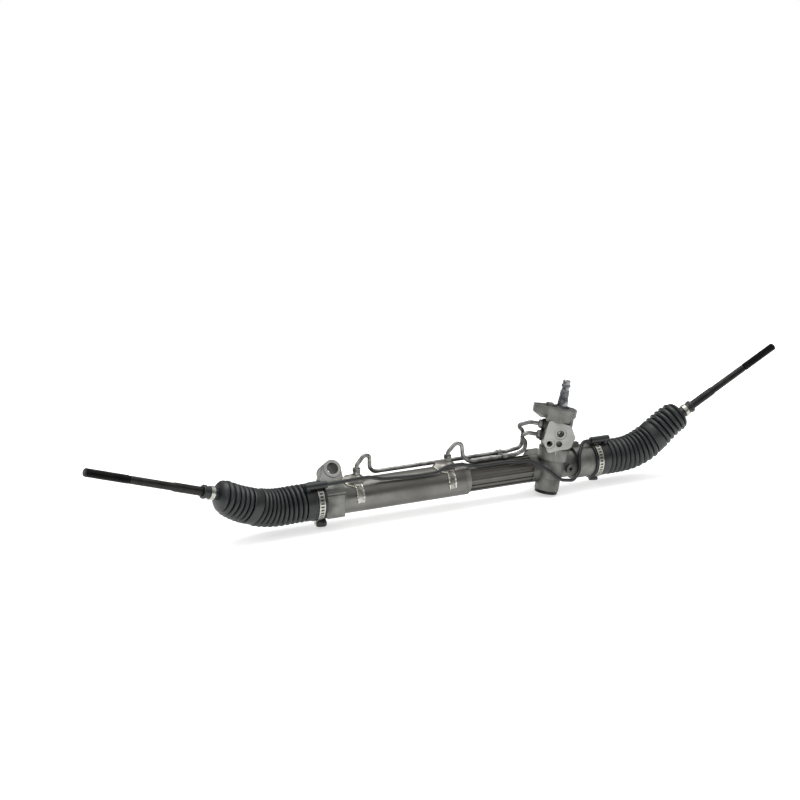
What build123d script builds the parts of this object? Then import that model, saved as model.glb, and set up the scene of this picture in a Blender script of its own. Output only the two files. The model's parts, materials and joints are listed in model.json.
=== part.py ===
from build123d import *
import os
from math import acos, cos, pi, radians, sin, sqrt, tan

# Power steering rack. +X runs along the rack, towards its pinion end; +Y points to the
# bulkhead behind it; +Z is up. The origin is the centre of the mounting eye's bore.
# All sizes are in millimetres and degrees.

# ---- fits --------------------------------------------------------------------------
seat_gap = 0.05          # radial gap between two pieces fixed to each other
running_gap = 0.05       # radial gap between a shaft and its bush
side_gap = 0.3           # gap between moving pieces that never bear on each other

# ---- mounting eye ------------------------------------------------------------------
eye_reach = 48.0         # eye bore to rack centre line
eye_lean = 32.0          # the eye leans back from straight above the rack
eye_bore = 19.5
eye_boss = 31.0          # outer diameter
eye_length = 26.0
eye_web = 24.0           # thickness of the web under the boss
eye_web_foot = 46.0      # length of the web where it meets the casting
eye_web_shift = -8.0
datum_x = 12.5           # lengths along the rack are measured from a plane this far past the eye

# ---- rack bar ----------------------------------------------------------------------
rack_diameter = 27.0
ball_left_x = -102.0     # ball centres; the bar stands 11 mm right of the middle of its travel
ball_right_x = 573.0

# ---- rack and pinion teeth ---------------------------------------------------------
tooth_module = 2.0
pinion_teeth = 8
pressure_angle = 25.0
pinion_addendum = 1.6
rack_addendum = 1.3
tip_clearance = 0.35
backlash = 0.16
rack_gaps = 27           # tooth gaps cut in the rack
rack_gap_shift = 2       # gaps from the pinion to the middle of the toothed length
rack_pitch_depth = 9.0   # rack centre line to its pitch line
pinion_x = 398.0
pinion_lean = 11.0       # the pinion leans towards the right-hand end
pinion_face = 30.0       # toothed length of the pinion

# ---- power cylinder ----------------------------------------------------------------
tube_outer = 56.5
tube_inner = 47.0
tube_start = -6.0
tube_end = 222.0
piston_x = 118.0
piston_length = 16.0
port_left_x = 26.0
port_right_x = 200.0
port_offset = 2.0        # port axes stand this far behind the rack centre line

# ---- left end casting --------------------------------------------------------------
casting_outer = 60.0
casting_start = -64.0
boot_seat_outer = 58.6   # where each boot is clamped
boot_seat_length = 20.0
socket_room = 39.0       # bore that the ball sockets slide into
mouth_size = 54.5        # the bore flares out to this, to clear a tilted tie rod
mouth_depth = 11.5
bush_left_x = -14.5       # outer face of the left bush
bush_length = 12.0
bush_outer = 35.0
spigot_length = 14.0     # spigots that enter the cylinder tube

# ---- pinion housing ----------------------------------------------------------------
neck_spigot = 8.0        # spigot that enters the cylinder tube
inner_seal_length = 8.0
neck_root = 45.0         # fluted neck, between its ribs
rib_height = 2.2
rib_width = 4.2
rib_count = 14
neck_end = 366.0
barrel_outer = 50.0      # round barrel of the housing where the rack meets the pinion
right_outer = 60.0
right_start = 451.0
housing_end = 511.0
bush_right_x = 450.5
lower_boss = 43.0
lower_boss_end = -38.0   # along the pinion from the rack's height
lower_step = 22.0        # the boss widens this far above its end
lower_cap_thickness = 6.0
valve_seat = 30.0        # height along the pinion where the valve housing sits
valve_flange = 54.0

# ---- valve housing -----------------------------------------------------------------
valve_turn = 25.0        # its port face is turned towards the left-hand end
valve_outer = 50.0
valve_bore = 37.4
valve_top = 98.0
valve_lid = 112.0
port_face = 28.0         # port face to pinion axis
supply_port = (2.0, 69.0)
supply_bore = 12.5
supply_ring = 21.0
return_port = (-14.0, 48.5)
return_bore = 10.5
return_ring = 19.0
bolt_port = (2.8, 50.5)
bolt_bore = 10.0
pipe_boss_heights = (77.0, 57.5)
pipe_boss_outer = 21.0
pipe_boss_reach = 27.0
wing_half = 8.0          # half the width of the wing
wing_bore = 8.5

# ---- pinion, valve and input shaft -------------------------------------------------
bearing_inner = 14.0
bearing_outer = 32.0
bearing_width = 10.0
bearing_balls = 8
ball_size = 5.0
cage_wall = 1.0
cage_height = 1.4
upper_bearing_inner = 20.0
upper_bearing_outer = 40.0
sleeve_inner = 21.0
sleeve_outer = 36.0
sleeve_start = 44.0
sleeve_end = 94.0
shaft_foot = 19.0
spline_size = 16.4
shaft_top = 161.5
torsion_bar_size = 8.0

# ---- ball joints and tie rods ------------------------------------------------------
joint_ball = 25.0
seat_wall = 1.8
socket_outer = 36.0
rod_length = 360.0       # ball centre to threaded tip
rod_thread = 14.0
rod_thread_length = 74.0
rod_shank = 13.2
rod_root = 15.2          # thicker half of the rod, under the boot
rod_root_length = 205.0
rod_neck = 12.0
rod_swing = 4.5          # both rods swing forward by this much as stored
left_rod_tilt = 18.0
right_rod_tilt = 29.5

# ---- boots and clamps --------------------------------------------------------------
boot_wall = 2.5
cuff_wall = 2.7          # from the seat on the housing to the outside of the cuff
cuff_length = 32.0
cuff_edge_left = -44.0
cuff_edge_right = 491.0
boot_crest = 64.0
fold_depth = 5.0         # crest to root of a convolution
band_outer = 61.0
outer_crest = 52.0       # crest of the last convolution
inner_folds = 10
band_length = 20.0
outer_folds = 5
cap_length = 12.0
boot_neck_outer = 20.0
boot_neck_start = 132.0  # from the ball centre, along the rod
boot_neck_end = 158.0
boot_lip_outer = 23.0
lip_length = 6.0
step_run = 1.2           # length over which the boot steps from one diameter to another
bend_steps = 8           # lengths that the hollow's bend is made in
clamp_width = 10.5
clamp_thickness = 1.2
clamp_offset = 7.5       # clamp centre to the edge of the cuff

# ---- pipes -------------------------------------------------------------------------
pipe_size = 7.2
pipe_nut = 16.6          # across its flats
pipe_nut_length = 9.0
breather_size = 6.0


# ---- frames that the pieces share --------------------------------------------------
rack_y = -eye_reach * sin(radians(eye_lean))
rack_z = -eye_reach * cos(radians(eye_lean))
rack_radius = rack_diameter / 2
pitch_radius = tooth_module * pinion_teeth / 2
centre_distance = rack_pitch_depth + pitch_radius
lean_sin = sin(radians(pinion_lean))
lean_cos = cos(radians(pinion_lean))


def at(x, y, z):
    """A point given from the datum plane and the rack's centre line."""
    return Vector(x + datum_x, rack_y + y, rack_z + z)


LENGTHWISE = Plane(origin=at(0, 0, 0), x_dir=(1, 0, 0), z_dir=(0, -1, 0))
RACK_LINE = Axis(at(0, 0, 0), (1, 0, 0))
EYE = Plane(
    origin=(0, 0, 0),
    x_dir=(1, 0, 0),
    z_dir=(0, -cos(radians(eye_lean)), sin(radians(eye_lean))),
)
PINION = Plane(
    origin=at(pinion_x, -centre_distance, 0),
    x_dir=(lean_cos, 0, -lean_sin),
    z_dir=(lean_sin, 0, lean_cos),
)
PINION_PROFILE = Plane(origin=PINION.origin, x_dir=PINION.x_dir, z_dir=-PINION.y_dir)
PINION_LINE = Axis(PINION.origin, PINION.z_dir)
TOWER = Plane(
    origin=PINION.origin,
    x_dir=PINION.x_dir.rotate(PINION_LINE, -valve_turn),
    z_dir=PINION.z_dir,
)
TOWER_FRONT = Plane(origin=TOWER.origin, x_dir=TOWER.x_dir, z_dir=-TOWER.y_dir)
TOWER_SIDE = Plane(origin=TOWER.origin, x_dir=-TOWER.y_dir, z_dir=-TOWER.x_dir)
GUIDE = Plane(origin=at(pinion_x, 0, 0), x_dir=(1, 0, 0), z_dir=(0, 1, 0))
GUIDE_LINE = Axis(GUIDE.origin, GUIDE.z_dir)


def across(x):
    """The plane square to the rack at x; its own x is +Y and its own y is up."""
    return Plane(origin=at(x, 0, 0), x_dir=(0, 1, 0), z_dir=(1, 0, 0))


def turned(points, plane=LENGTHWISE, axis=RACK_LINE):
    """A piece turned about an axis from its half section."""
    with BuildPart() as piece:
        with BuildSketch(plane):
            with BuildLine():
                Polyline(*points, close=True)
            make_face()
        revolve(axis=axis)
    return piece


def ring(start, end, inner, outer):
    """Half section of a plain ring, between two places and two diameters."""
    return [(start, inner / 2), (end, inner / 2), (end, outer / 2), (start, outer / 2)]


def upright(points):
    """The same half section for a piece on the pinion's axis, given as (height, radius)."""
    return [(radius, height) for height, radius in points]


def keep(piece, name):
    """Label a finished piece and write its file."""
    piece.part.label = name
    export_step(piece.part, f"parts/{name}.step")


def mouth(end, inward):
    """Half section of the flare at an open end of the housing."""
    return [(end, 0), (end, mouth_size / 2), (end + inward * mouth_depth, socket_room / 2),
            (end + inward * mouth_depth, 0)]


os.makedirs("parts", exist_ok=True)

# ---- left end casting with the mounting eye -----------------------------------------
spigot_outer = tube_inner - 2 * seat_gap
seat_end = casting_start + boot_seat_length
with BuildPart() as end_casting:
    with BuildSketch(across(casting_start)):
        Circle(boot_seat_outer / 2)
    extrude(amount=boot_seat_length)
    with BuildSketch(across(seat_end)):
        Circle(casting_outer / 2)
    extrude(amount=tube_start - seat_end)
    # web from the barrel out to the eye
    with BuildSketch(EYE):
        Circle(eye_boss / 2)
        with Locations((eye_web_shift, -eye_reach + casting_outer * 0.36)):
            Rectangle(eye_web_foot, 6)
        make_hull()
    extrude(amount=eye_web / 2, both=True)
    with BuildSketch(EYE):
        Circle(eye_boss / 2)
    extrude(amount=eye_length / 2, both=True)
    # flat pad on the front, where the bracket bears
    with BuildSketch(Plane(origin=at(-27, 0, -5), x_dir=(1, 0, 0), z_dir=(0, -1, 0))):
        RectangleRounded(33, 38, 2)
    extrude(amount=casting_outer / 2 + 0.8)
    # the tube passes under the web, and the spigot enters it
    with BuildSketch(across(tube_start)):
        Circle(tube_outer / 2 + seat_gap)
    extrude(amount=eye_boss, mode=Mode.SUBTRACT)
    with BuildSketch(across(tube_start)):
        Circle(spigot_outer / 2)
    extrude(amount=spigot_length)
    # bore for the socket, seat for the bush and clearance for the bar
    with BuildSketch(across(casting_start)):
        Circle(socket_room / 2)
    extrude(amount=bush_left_x - casting_start, mode=Mode.SUBTRACT)
    with BuildSketch(across(bush_left_x)):
        Circle(bush_outer / 2 + seat_gap)
    extrude(amount=tube_start + spigot_length - bush_left_x, mode=Mode.SUBTRACT)
    with BuildSketch(EYE):
        Circle(eye_bore / 2)
    extrude(amount=eye_length, both=True, mode=Mode.SUBTRACT)
    with BuildSketch(LENGTHWISE):
        with BuildLine():
            Polyline(*mouth(casting_start, 1), close=True)
        make_face()
    revolve(axis=RACK_LINE, mode=Mode.SUBTRACT)
keep(end_casting, "left_end_casting")

bush_bore = rack_diameter + 2 * running_gap
left_bush = turned(ring(bush_left_x, bush_left_x + bush_length, bush_bore, bush_outer))
keep(left_bush, "left_rack_bush")
seal_left_start = bush_left_x + bush_length
left_seal = turned(
    ring(seal_left_start, tube_start + spigot_length, bush_bore, bush_outer)
)
keep(left_seal, "left_rack_seal")

# ---- power cylinder -------------------------------------------------------------------
saddle_length = 22.0
saddle_thickness = 3.0
saddle_bore = 8.0
saddle_drop = 8.0        # the sheet reaches this far below the rack's centre line
saddle_sink = 4.25       # the tent's foot starts this far below the top of the tube
port_boss = 13.0
port_boss_reach = 12.75  # the boss stands this far above the tube
tube_top = tube_outer / 2
port_boss_top = tube_top + port_boss_reach


def saddle(x):
    """A sheet saddle over the top of the tube, with its boss."""
    square = Plane(origin=at(x, port_offset, 0), x_dir=(1, 0, 0), z_dir=(0, 0, 1))
    with BuildPart() as piece:
        with BuildSketch(across(x - saddle_length / 2)):
            Circle(tube_outer / 2 + saddle_thickness)
            with Locations((0, tube_outer - saddle_drop)):
                Rectangle(2 * tube_outer, 2 * tube_outer, mode=Mode.INTERSECT)
        extrude(amount=saddle_length)
        # the sheet is drawn up like a tent, to carry the boss
        with BuildSketch(square.offset(tube_top - saddle_sink)):
            RectangleRounded(saddle_length - 2, 2 * port_boss, 4)
        with BuildSketch(square.offset(port_boss_top - 3)):
            Circle(port_boss / 2)
        loft()
        with BuildSketch(square):
            Circle(port_boss / 2)
        extrude(amount=port_boss_top)
        with BuildSketch(across(x - saddle_length / 2)):
            Circle(tube_outer / 2 + seat_gap)
        extrude(amount=saddle_length, mode=Mode.SUBTRACT)
        with BuildSketch(square):
            Circle(saddle_bore / 2)
        extrude(amount=port_boss_top + 1, mode=Mode.SUBTRACT)
    return piece


with BuildPart() as cylinder:
    with BuildSketch(across(tube_start)):
        Circle(tube_outer / 2)
        Circle(tube_inner / 2, mode=Mode.SUBTRACT)
    extrude(amount=tube_end - tube_start)
    for port_x in (port_left_x, port_right_x):
        with BuildSketch(Plane(origin=at(port_x, port_offset, 0), x_dir=(1, 0, 0), z_dir=(0, 0, 1))):
            Circle(saddle_bore / 4)
        extrude(amount=tube_outer, mode=Mode.SUBTRACT)
keep(cylinder, "cylinder_tube")
keep(saddle(port_left_x), "left_port_saddle")
keep(saddle(port_right_x), "right_port_saddle")

inner_seal = turned(ring(
    tube_end - neck_spigot - inner_seal_length,
    tube_end - neck_spigot,
    bush_bore,
    spigot_outer,
))
keep(inner_seal, "inner_rack_seal")

piston_ring_depth = 2.0
piston_ring_width = 3.0
piston_outer = tube_inner - 0.6
piston_start = piston_x - piston_length / 2
ring_start = piston_x - piston_ring_width / 2
ring_bed = piston_outer / 2 - piston_ring_depth
piston = turned([
    (piston_start, rack_radius + seat_gap),
    (piston_start + piston_length, rack_radius + seat_gap),
    (piston_start + piston_length, piston_outer / 2),
    (ring_start + piston_ring_width, piston_outer / 2),
    (ring_start + piston_ring_width, ring_bed),
    (ring_start, ring_bed),
    (ring_start, piston_outer / 2),
    (piston_start, piston_outer / 2),
])
keep(piston, "piston")
piston_ring = turned(ring(
    ring_start + seat_gap,
    ring_start + piston_ring_width - seat_gap,
    2 * (ring_bed + seat_gap),
    tube_inner - 2 * running_gap,
))
keep(piston_ring, "piston_ring")

# ---- rack bar with its teeth -----------------------------------------------------------
rack_end_inset = 26.0
socket_thread = 18.0
socket_thread_length = 22.0
normal_pitch = pi * tooth_module
toothed_shift = rack_gap_shift * normal_pitch
rack_dedendum = pinion_addendum + tip_clearance
gap_at_pitch = normal_pitch / 2 + backlash
flank = tan(radians(pressure_angle))
toothed_half = (rack_gaps + 1) * normal_pitch / 2 / lean_cos
tip_depth = rack_pitch_depth + rack_addendum
bar_start = ball_left_x + rack_end_inset
bar_end = ball_right_x - rack_end_inset
with BuildPart() as bar:
    with BuildSketch(across(bar_start)):
        Circle(rack_radius)
    extrude(amount=bar_end - bar_start)
    # flat that the teeth are cut into
    with Locations(at(pinion_x + toothed_shift / lean_cos, -tip_depth - rack_radius / 2, 0)):
        Box(2 * toothed_half, rack_radius, 2 * rack_diameter, mode=Mode.SUBTRACT)
    # tooth gaps, cut along the pinion's axis
    root_y = pitch_radius + rack_dedendum
    open_y = pitch_radius - rack_addendum - 1
    with BuildSketch(PINION):
        with Locations((toothed_shift, 0)), GridLocations(normal_pitch, 1, rack_gaps, 1):
            Polygon(
                (-gap_at_pitch / 2 - (rack_addendum + 1) * flank, open_y),
                (gap_at_pitch / 2 + (rack_addendum + 1) * flank, open_y),
                (gap_at_pitch / 2 - rack_dedendum * flank, root_y),
                (-gap_at_pitch / 2 + rack_dedendum * flank, root_y),
                align=None,
            )
    extrude(amount=2 * rack_diameter, both=True, mode=Mode.SUBTRACT)
    # threaded bores for the ball sockets
    with BuildSketch(across(bar_start)):
        Circle(socket_thread / 2 + seat_gap)
    extrude(amount=socket_thread_length, mode=Mode.SUBTRACT)
    with BuildSketch(across(bar_end)):
        Circle(socket_thread / 2 + seat_gap)
    extrude(amount=-socket_thread_length, mode=Mode.SUBTRACT)
keep(bar, "rack_bar")

# ---- pinion housing --------------------------------------------------------------------
barrel_start = neck_end - 6
neck_bore = rack_diameter + 7
guide_bore = 32.0
guide_boss_outer = 44.0
guide_boss_reach = 42.0
pinion_tip = pitch_radius + pinion_addendum
pinion_room = 2 * (pinion_tip + 1.2)
lower_pocket = -17.0     # lower bearing sits below this height
bush_right_end = bush_right_x + bush_length
clip_boss_x = 434.0
clip_boss_z = -3.0
clip_boss = 17.0
clip_boss_reach = 29.0   # face of the boss to the rack's centre line
clip_bore = 6.0
clip_bore_depth = 7.0
lug_width = 8.0
lug_top = 37.0
with BuildPart() as pinion_housing:
    # collar that the tube is pressed over, then the fluted neck
    with BuildSketch(across(tube_end)):
        Circle(tube_outer / 2)
    extrude(amount=10)
    with BuildSketch(across(tube_end - neck_spigot)):
        Circle(spigot_outer / 2)
    extrude(amount=neck_spigot)
    with BuildSketch(across(tube_end)):
        Circle(neck_root / 2)
        with PolarLocations(neck_root / 2, rib_count):
            RectangleRounded(2 * rib_height, rib_width, 0.8)
    extrude(amount=barrel_start + 10 - tube_end)
    # barrel round the rack, boss round the pinion and boss for the rack guide
    with BuildSketch(across(barrel_start)):
        Circle(barrel_outer / 2)
    extrude(amount=right_start - barrel_start)
    with BuildSketch(across(right_start)):
        Circle(right_outer / 2)
    extrude(amount=housing_end - boot_seat_length - right_start)
    with BuildSketch(across(housing_end - boot_seat_length)):
        Circle(boot_seat_outer / 2)
    extrude(amount=boot_seat_length)
    with BuildSketch(PINION.offset(lower_boss_end)):
        Circle(lower_boss / 2)
    extrude(amount=valve_seat - lower_boss_end)
    with BuildSketch(PINION.offset(lower_boss_end + lower_step)):
        Circle(lower_boss / 2 + 1.5)
    extrude(amount=valve_seat - lower_boss_end - lower_step)
    with BuildSketch(PINION.offset(valve_seat - 12)):
        Circle(valve_flange / 2)
    extrude(amount=12)
    with BuildSketch(GUIDE):
        Circle(guide_boss_outer / 2)
    extrude(amount=guide_boss_reach)
    # round tapped boss on the front, and a lug on top of the barrel
    with BuildSketch(LENGTHWISE):
        with Locations((clip_boss_x, clip_boss_z)):
            Circle(clip_boss / 2)
    extrude(amount=clip_boss_reach)
    with BuildSketch(LENGTHWISE.offset(-lug_width / 2)):
        with BuildLine():
            Polyline((438, 18), (468, 18), (466, lug_top), (446, lug_top), close=True)
        make_face()
    extrude(amount=lug_width)
    # bores
    with BuildSketch(across(tube_end - neck_spigot)):
        Circle(neck_bore / 2)
    extrude(amount=bush_right_x - tube_end + neck_spigot, mode=Mode.SUBTRACT)
    with BuildSketch(across(bush_right_x)):
        Circle(bush_outer / 2 + seat_gap)
    extrude(amount=bush_length + 1, mode=Mode.SUBTRACT)
    with BuildSketch(across(bush_right_end)):
        Circle(socket_room / 2)
    extrude(amount=housing_end - bush_right_end, mode=Mode.SUBTRACT)
    with BuildSketch(PINION.offset(lower_pocket)):
        Circle(pinion_room / 2)
    extrude(amount=valve_seat - lower_pocket, mode=Mode.SUBTRACT)
    with BuildSketch(PINION.offset(lower_boss_end)):
        Circle(bearing_outer / 2 + seat_gap)
    extrude(amount=lower_pocket - lower_boss_end, mode=Mode.SUBTRACT)
    with BuildSketch(PINION.offset(valve_seat - 10)):
        Circle(upper_bearing_outer / 2 + seat_gap)
    extrude(amount=10, mode=Mode.SUBTRACT)
    with BuildSketch(GUIDE):
        Circle(guide_bore / 2 + seat_gap)
    extrude(amount=guide_boss_reach, mode=Mode.SUBTRACT)
    with BuildSketch(LENGTHWISE.offset(clip_boss_reach)):
        with Locations((clip_boss_x, clip_boss_z)):
            Circle(clip_bore / 2)
    extrude(amount=-clip_bore_depth, mode=Mode.SUBTRACT)
    with BuildSketch(LENGTHWISE):
        with BuildLine():
            Polyline(*mouth(housing_end, -1), close=True)
        make_face()
    revolve(axis=RACK_LINE, mode=Mode.SUBTRACT)
keep(pinion_housing, "pinion_housing")

right_bush = turned(ring(bush_right_x, bush_right_end, bush_bore, bush_outer))
keep(right_bush, "right_rack_bush")

# ---- rack guide behind the rack ----------------------------------------------------------
guide_length = 20.0
guide_start = 6.0
spring_room = 5.0
plug_length = guide_boss_reach - guide_start - guide_length - spring_room
with BuildPart() as guide:
    with BuildSketch(GUIDE.offset(guide_start)):
        Circle(guide_bore / 2 - running_gap)
    extrude(amount=guide_length)
    with BuildSketch(across(pinion_x - guide_bore)):
        Circle(rack_radius + running_gap)
    extrude(amount=2 * guide_bore, mode=Mode.SUBTRACT)
keep(guide, "rack_guide")

disc_thickness = 1.6
disc_inner = 12.0
disc_outer = 28.0
disc_start = guide_start + guide_length
guide_spring = turned(
    [
        (disc_inner / 2, disc_start),
        (disc_inner / 2, disc_start + disc_thickness),
        (disc_outer / 2, disc_start + spring_room),
        (disc_outer / 2, disc_start + spring_room - disc_thickness),
    ],
    Plane(origin=GUIDE.origin, x_dir=GUIDE.x_dir, z_dir=-GUIDE.y_dir),
    GUIDE_LINE,
)
keep(guide_spring, "guide_disc_spring")

plug_start = disc_start + spring_room
plug_stand = 6.0
with BuildPart() as guide_plug:
    with BuildSketch(GUIDE.offset(plug_start)):
        Circle(guide_bore / 2)
    extrude(amount=plug_length + plug_stand)
    with BuildSketch(GUIDE.offset(plug_start + plug_length + plug_stand)):
        RegularPolygon(17 / 2, 6, major_radius=False)
    extrude(amount=-8, mode=Mode.SUBTRACT)
keep(guide_plug, "guide_plug")

locknut_size = 40.0
with BuildPart() as guide_locknut:
    with BuildSketch(GUIDE.offset(guide_boss_reach)):
        RegularPolygon(locknut_size / 2, 6, major_radius=False)
        Circle(guide_bore / 2 + seat_gap, mode=Mode.SUBTRACT)
    extrude(amount=plug_stand)
keep(guide_locknut, "guide_locknut")

# ---- lower pinion cap ---------------------------------------------------------------------
cap_spigot = 4.0
with BuildPart() as lower_cap:
    with BuildSketch(PINION.offset(lower_boss_end - lower_cap_thickness)):
        Circle(lower_boss / 2 - 1.2)
    extrude(amount=lower_cap_thickness)
    with BuildSketch(PINION.offset(lower_boss_end)):
        Circle(bearing_outer / 2 - seat_gap)
    extrude(amount=cap_spigot)
    with BuildSketch(PINION.offset(lower_boss_end - lower_cap_thickness)):
        RegularPolygon(19 / 2, 6, major_radius=False)
    extrude(amount=4, mode=Mode.SUBTRACT)
    fillet(lower_cap.faces().sort_by(PINION_LINE)[0].outer_wire().edges(), 1.2)
keep(lower_cap, "lower_pinion_cap")

# ---- valve housing ------------------------------------------------------------------------
with BuildPart() as valve_housing:
    with BuildSketch(TOWER.offset(valve_seat)):
        Circle(valve_outer / 2)
    extrude(amount=valve_top - valve_seat)
    with BuildSketch(TOWER.offset(valve_seat)):
        Circle(valve_flange / 2)
    extrude(amount=9)
    # port face, an almost flat pad on the front
    with BuildSketch(TOWER_FRONT):
        with BuildLine() as pad:
            FilletPolyline(
                (-22, 90), (18, 86), (30, 66), (22, 45), (4, 39), (-13, 31), (-26.5, 50),
                radius=5, close=True,
            )
        make_face()
    extrude(amount=port_face)
    # rib from the port pad round to the right
    with BuildSketch(TOWER_FRONT.offset(4)):
        with BuildLine():
            Polyline((10, 88), (21, 82), (31, 66), (27, 46), (10, 42), close=True)
        make_face()
    extrude(amount=14)
    # bosses for the two pipes, on the left
    for height in pipe_boss_heights:
        with BuildSketch(TOWER_SIDE):
            with Locations((0, height)):
                Circle(pipe_boss_outer / 2)
        extrude(amount=pipe_boss_reach)
    # top flange with its wing
    with BuildSketch(TOWER.offset(valve_top)):
        with BuildLine():
            FilletPolyline(
                (-50, -7), (-27, -25), (20, -25), (27, -8), (24, 16), (4, 26), (-26, 22),
                (-50, 9), radius=4, close=True,
            )
        make_face()
    extrude(amount=valve_lid - valve_top)
    with BuildSketch(TOWER.offset(valve_top)):
        with BuildLine():
            Polyline((-27, -25), (20, -25), (26, 0), (20, 20), (-24, 20), close=True)
        make_face()
    with BuildSketch(TOWER.offset(valve_top - 14)):
        with BuildLine():
            Polyline((-20, -20), (16, -20), (22, 0), (16, 16), (-18, 16), close=True)
        make_face()
    loft()
    # the underside of the wing slopes, and a lug stands beside the shaft
    with BuildSketch(TOWER_FRONT):
        with BuildLine():
            Polyline(
                (-48, valve_top + 1), (-48, valve_top - 1), (-36, valve_top - 8),
                (-20, valve_top - 8), (-20, valve_top + 1), close=True,
            )
        make_face()
    extrude(amount=wing_half, both=True)
    with BuildSketch(TOWER.offset(valve_lid)):
        with Locations((-22, 0)):
            RectangleRounded(12, 16, 2)
    extrude(amount=5)
    # hollow in the front of the flange
    with BuildSketch(TOWER_FRONT.offset(25)):
        with BuildLine():
            FilletPolyline(
                (-17, valve_top - 9), (1, valve_top - 9), (5, valve_top + 7), (-19, valve_top + 7),
                radius=2, close=True,
            )
        make_face()
    extrude(amount=-4, mode=Mode.SUBTRACT)
    # bores
    with BuildSketch(TOWER.offset(valve_seat)):
        Circle(valve_bore / 2)
    extrude(amount=valve_top - valve_seat, mode=Mode.SUBTRACT)
    with BuildSketch(TOWER.offset(valve_seat)):
        Circle(upper_bearing_outer / 2 + seat_gap)
    extrude(amount=4, mode=Mode.SUBTRACT)
    with BuildSketch(TOWER.offset(valve_top)):
        Circle(15 + seat_gap)
    extrude(amount=valve_lid - valve_top, mode=Mode.SUBTRACT)
    for place, bore, spot in (
        (supply_port, supply_bore, supply_ring),
        (return_port, return_bore, return_ring),
        (bolt_port, bolt_bore, bolt_bore + 1),
    ):
        with BuildSketch(TOWER_FRONT.offset(port_face)):
            with Locations(place):
                Circle(spot / 2)
        extrude(amount=-0.8, mode=Mode.SUBTRACT)
        with BuildSketch(TOWER_FRONT.offset(port_face)):
            with Locations(place):
                Circle(bore / 2)
        extrude(amount=-7, mode=Mode.SUBTRACT)
    for place in (supply_port, return_port):
        with BuildSketch(TOWER_FRONT.offset(port_face)):
            with Locations(place):
                Circle(3)
        extrude(amount=-port_face + 10, mode=Mode.SUBTRACT)
    for height in pipe_boss_heights:
        with BuildSketch(TOWER_SIDE.offset(pipe_boss_reach)):
            with Locations((0, height)):
                Circle(pipe_size / 2 + 1.2)
        extrude(amount=-8, mode=Mode.SUBTRACT)
    # bolt hole in the wing
    with BuildSketch(TOWER.offset(valve_lid)):
        with Locations((-41, 0)):
            Circle(wing_bore / 2)
    extrude(amount=-2 * (valve_lid - valve_top), mode=Mode.SUBTRACT)
keep(valve_housing, "valve_housing")

# ---- pinion, bearings and rotary valve ------------------------------------------------------
base_radius = pitch_radius * cos(radians(pressure_angle))
pinion_root = pitch_radius - rack_addendum - tip_clearance
half_face = pinion_face / 2


def involute(radius):
    """Involute angle, in radians, at a radius of the pinion's flank."""
    return sqrt((radius / base_radius) ** 2 - 1) - acos(base_radius / radius)


tooth_at_pitch = normal_pitch / 2 - backlash
half_at_base = tooth_at_pitch / (2 * pitch_radius) + involute(pitch_radius)


def flank_point(radius, side):
    """A point on one side of a pinion tooth that points along local x."""
    half = half_at_base - involute(max(radius, base_radius))
    return radius * cos(half), side * radius * sin(half)


flank_radii = [base_radius + (pinion_tip - base_radius) * step / 3 for step in range(4)]
journal = 6.9
upper_journal = upper_bearing_inner / 2 - seat_gap
with BuildSketch() as pinion_tooth:
    with BuildLine():
        right = Spline(*[flank_point(radius, -1) for radius in flank_radii])
        left = Spline(*[flank_point(radius, 1) for radius in flank_radii])
        Line(right @ 1, left @ 1)
        Polyline(left @ 0, (pinion_root * 0.8, left.position_at(0).Y * 0.8),
                 (pinion_root * 0.8, right.position_at(0).Y * 0.8), right @ 0)
    make_face()
with BuildPart() as pinion_shaft:
    with BuildSketch(PINION.offset(-half_face)):
        Circle(pinion_root)
        with PolarLocations(0, pinion_teeth, start_angle=90):
            add(pinion_tooth.sketch)
    extrude(amount=pinion_face)
    with BuildSketch(PINION.offset(lower_pocket - bearing_width - 4)):
        Circle(journal - seat_gap)
    extrude(amount=-half_face - lower_pocket + bearing_width + 4)
    with BuildSketch(PINION.offset(half_face)):
        Circle(upper_journal)
    extrude(amount=sleeve_start - half_face - 4)
    with BuildSketch(PINION.offset(valve_seat + 4.5)):
        Circle(sleeve_outer / 2 - 2)
    extrude(amount=sleeve_start - valve_seat - 4.5)
    # bore for the torsion bar and the foot of the input shaft
    with BuildSketch(PINION.offset(8)):
        Circle(torsion_bar_size / 2 + running_gap)
    extrude(amount=sleeve_start - 8, mode=Mode.SUBTRACT)
keep(pinion_shaft, "pinion_shaft")


def ball_bearing(start, inner, outer, name):
    """A deep-groove ball bearing: outer race, inner race, and balls with their cage."""
    middle = (inner + outer) / 4
    wall = (outer - inner) / 2 * 0.3
    height = start + bearing_width / 2
    groove = ball_size / 2 + 0.1
    for race, bore_face, land_face, side in (
        ("outer", outer / 2, outer / 2 - wall, 1),
        ("inner", inner / 2, inner / 2 + wall, -1),
    ):
        half_groove = sqrt(groove**2 - (land_face - middle) ** 2)
        with BuildPart() as ring_piece:
            with BuildSketch(PINION_PROFILE):
                with BuildLine():
                    Polyline(
                        (land_face, height + half_groove), (land_face, start + bearing_width),
                        (bore_face, start + bearing_width), (bore_face, start),
                        (land_face, start), (land_face, height - half_groove),
                    )
                    ThreePointArc(
                        (land_face, height - half_groove), (middle + side * groove, height),
                        (land_face, height + half_groove),
                    )
                make_face()
            revolve(axis=PINION_LINE)
        keep(ring_piece, f"{name}_{race}_race")
    with BuildPart() as balls:
        with BuildSketch(PINION.offset(height - cage_height / 2)):
            Circle(middle + cage_wall / 2)
            Circle(middle - cage_wall / 2, mode=Mode.SUBTRACT)
        extrude(amount=cage_height)
        with Locations(PINION.offset(height)):
            with PolarLocations(middle, bearing_balls):
                Sphere(ball_size / 2)
    keep(balls, f"{name}_balls")


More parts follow.
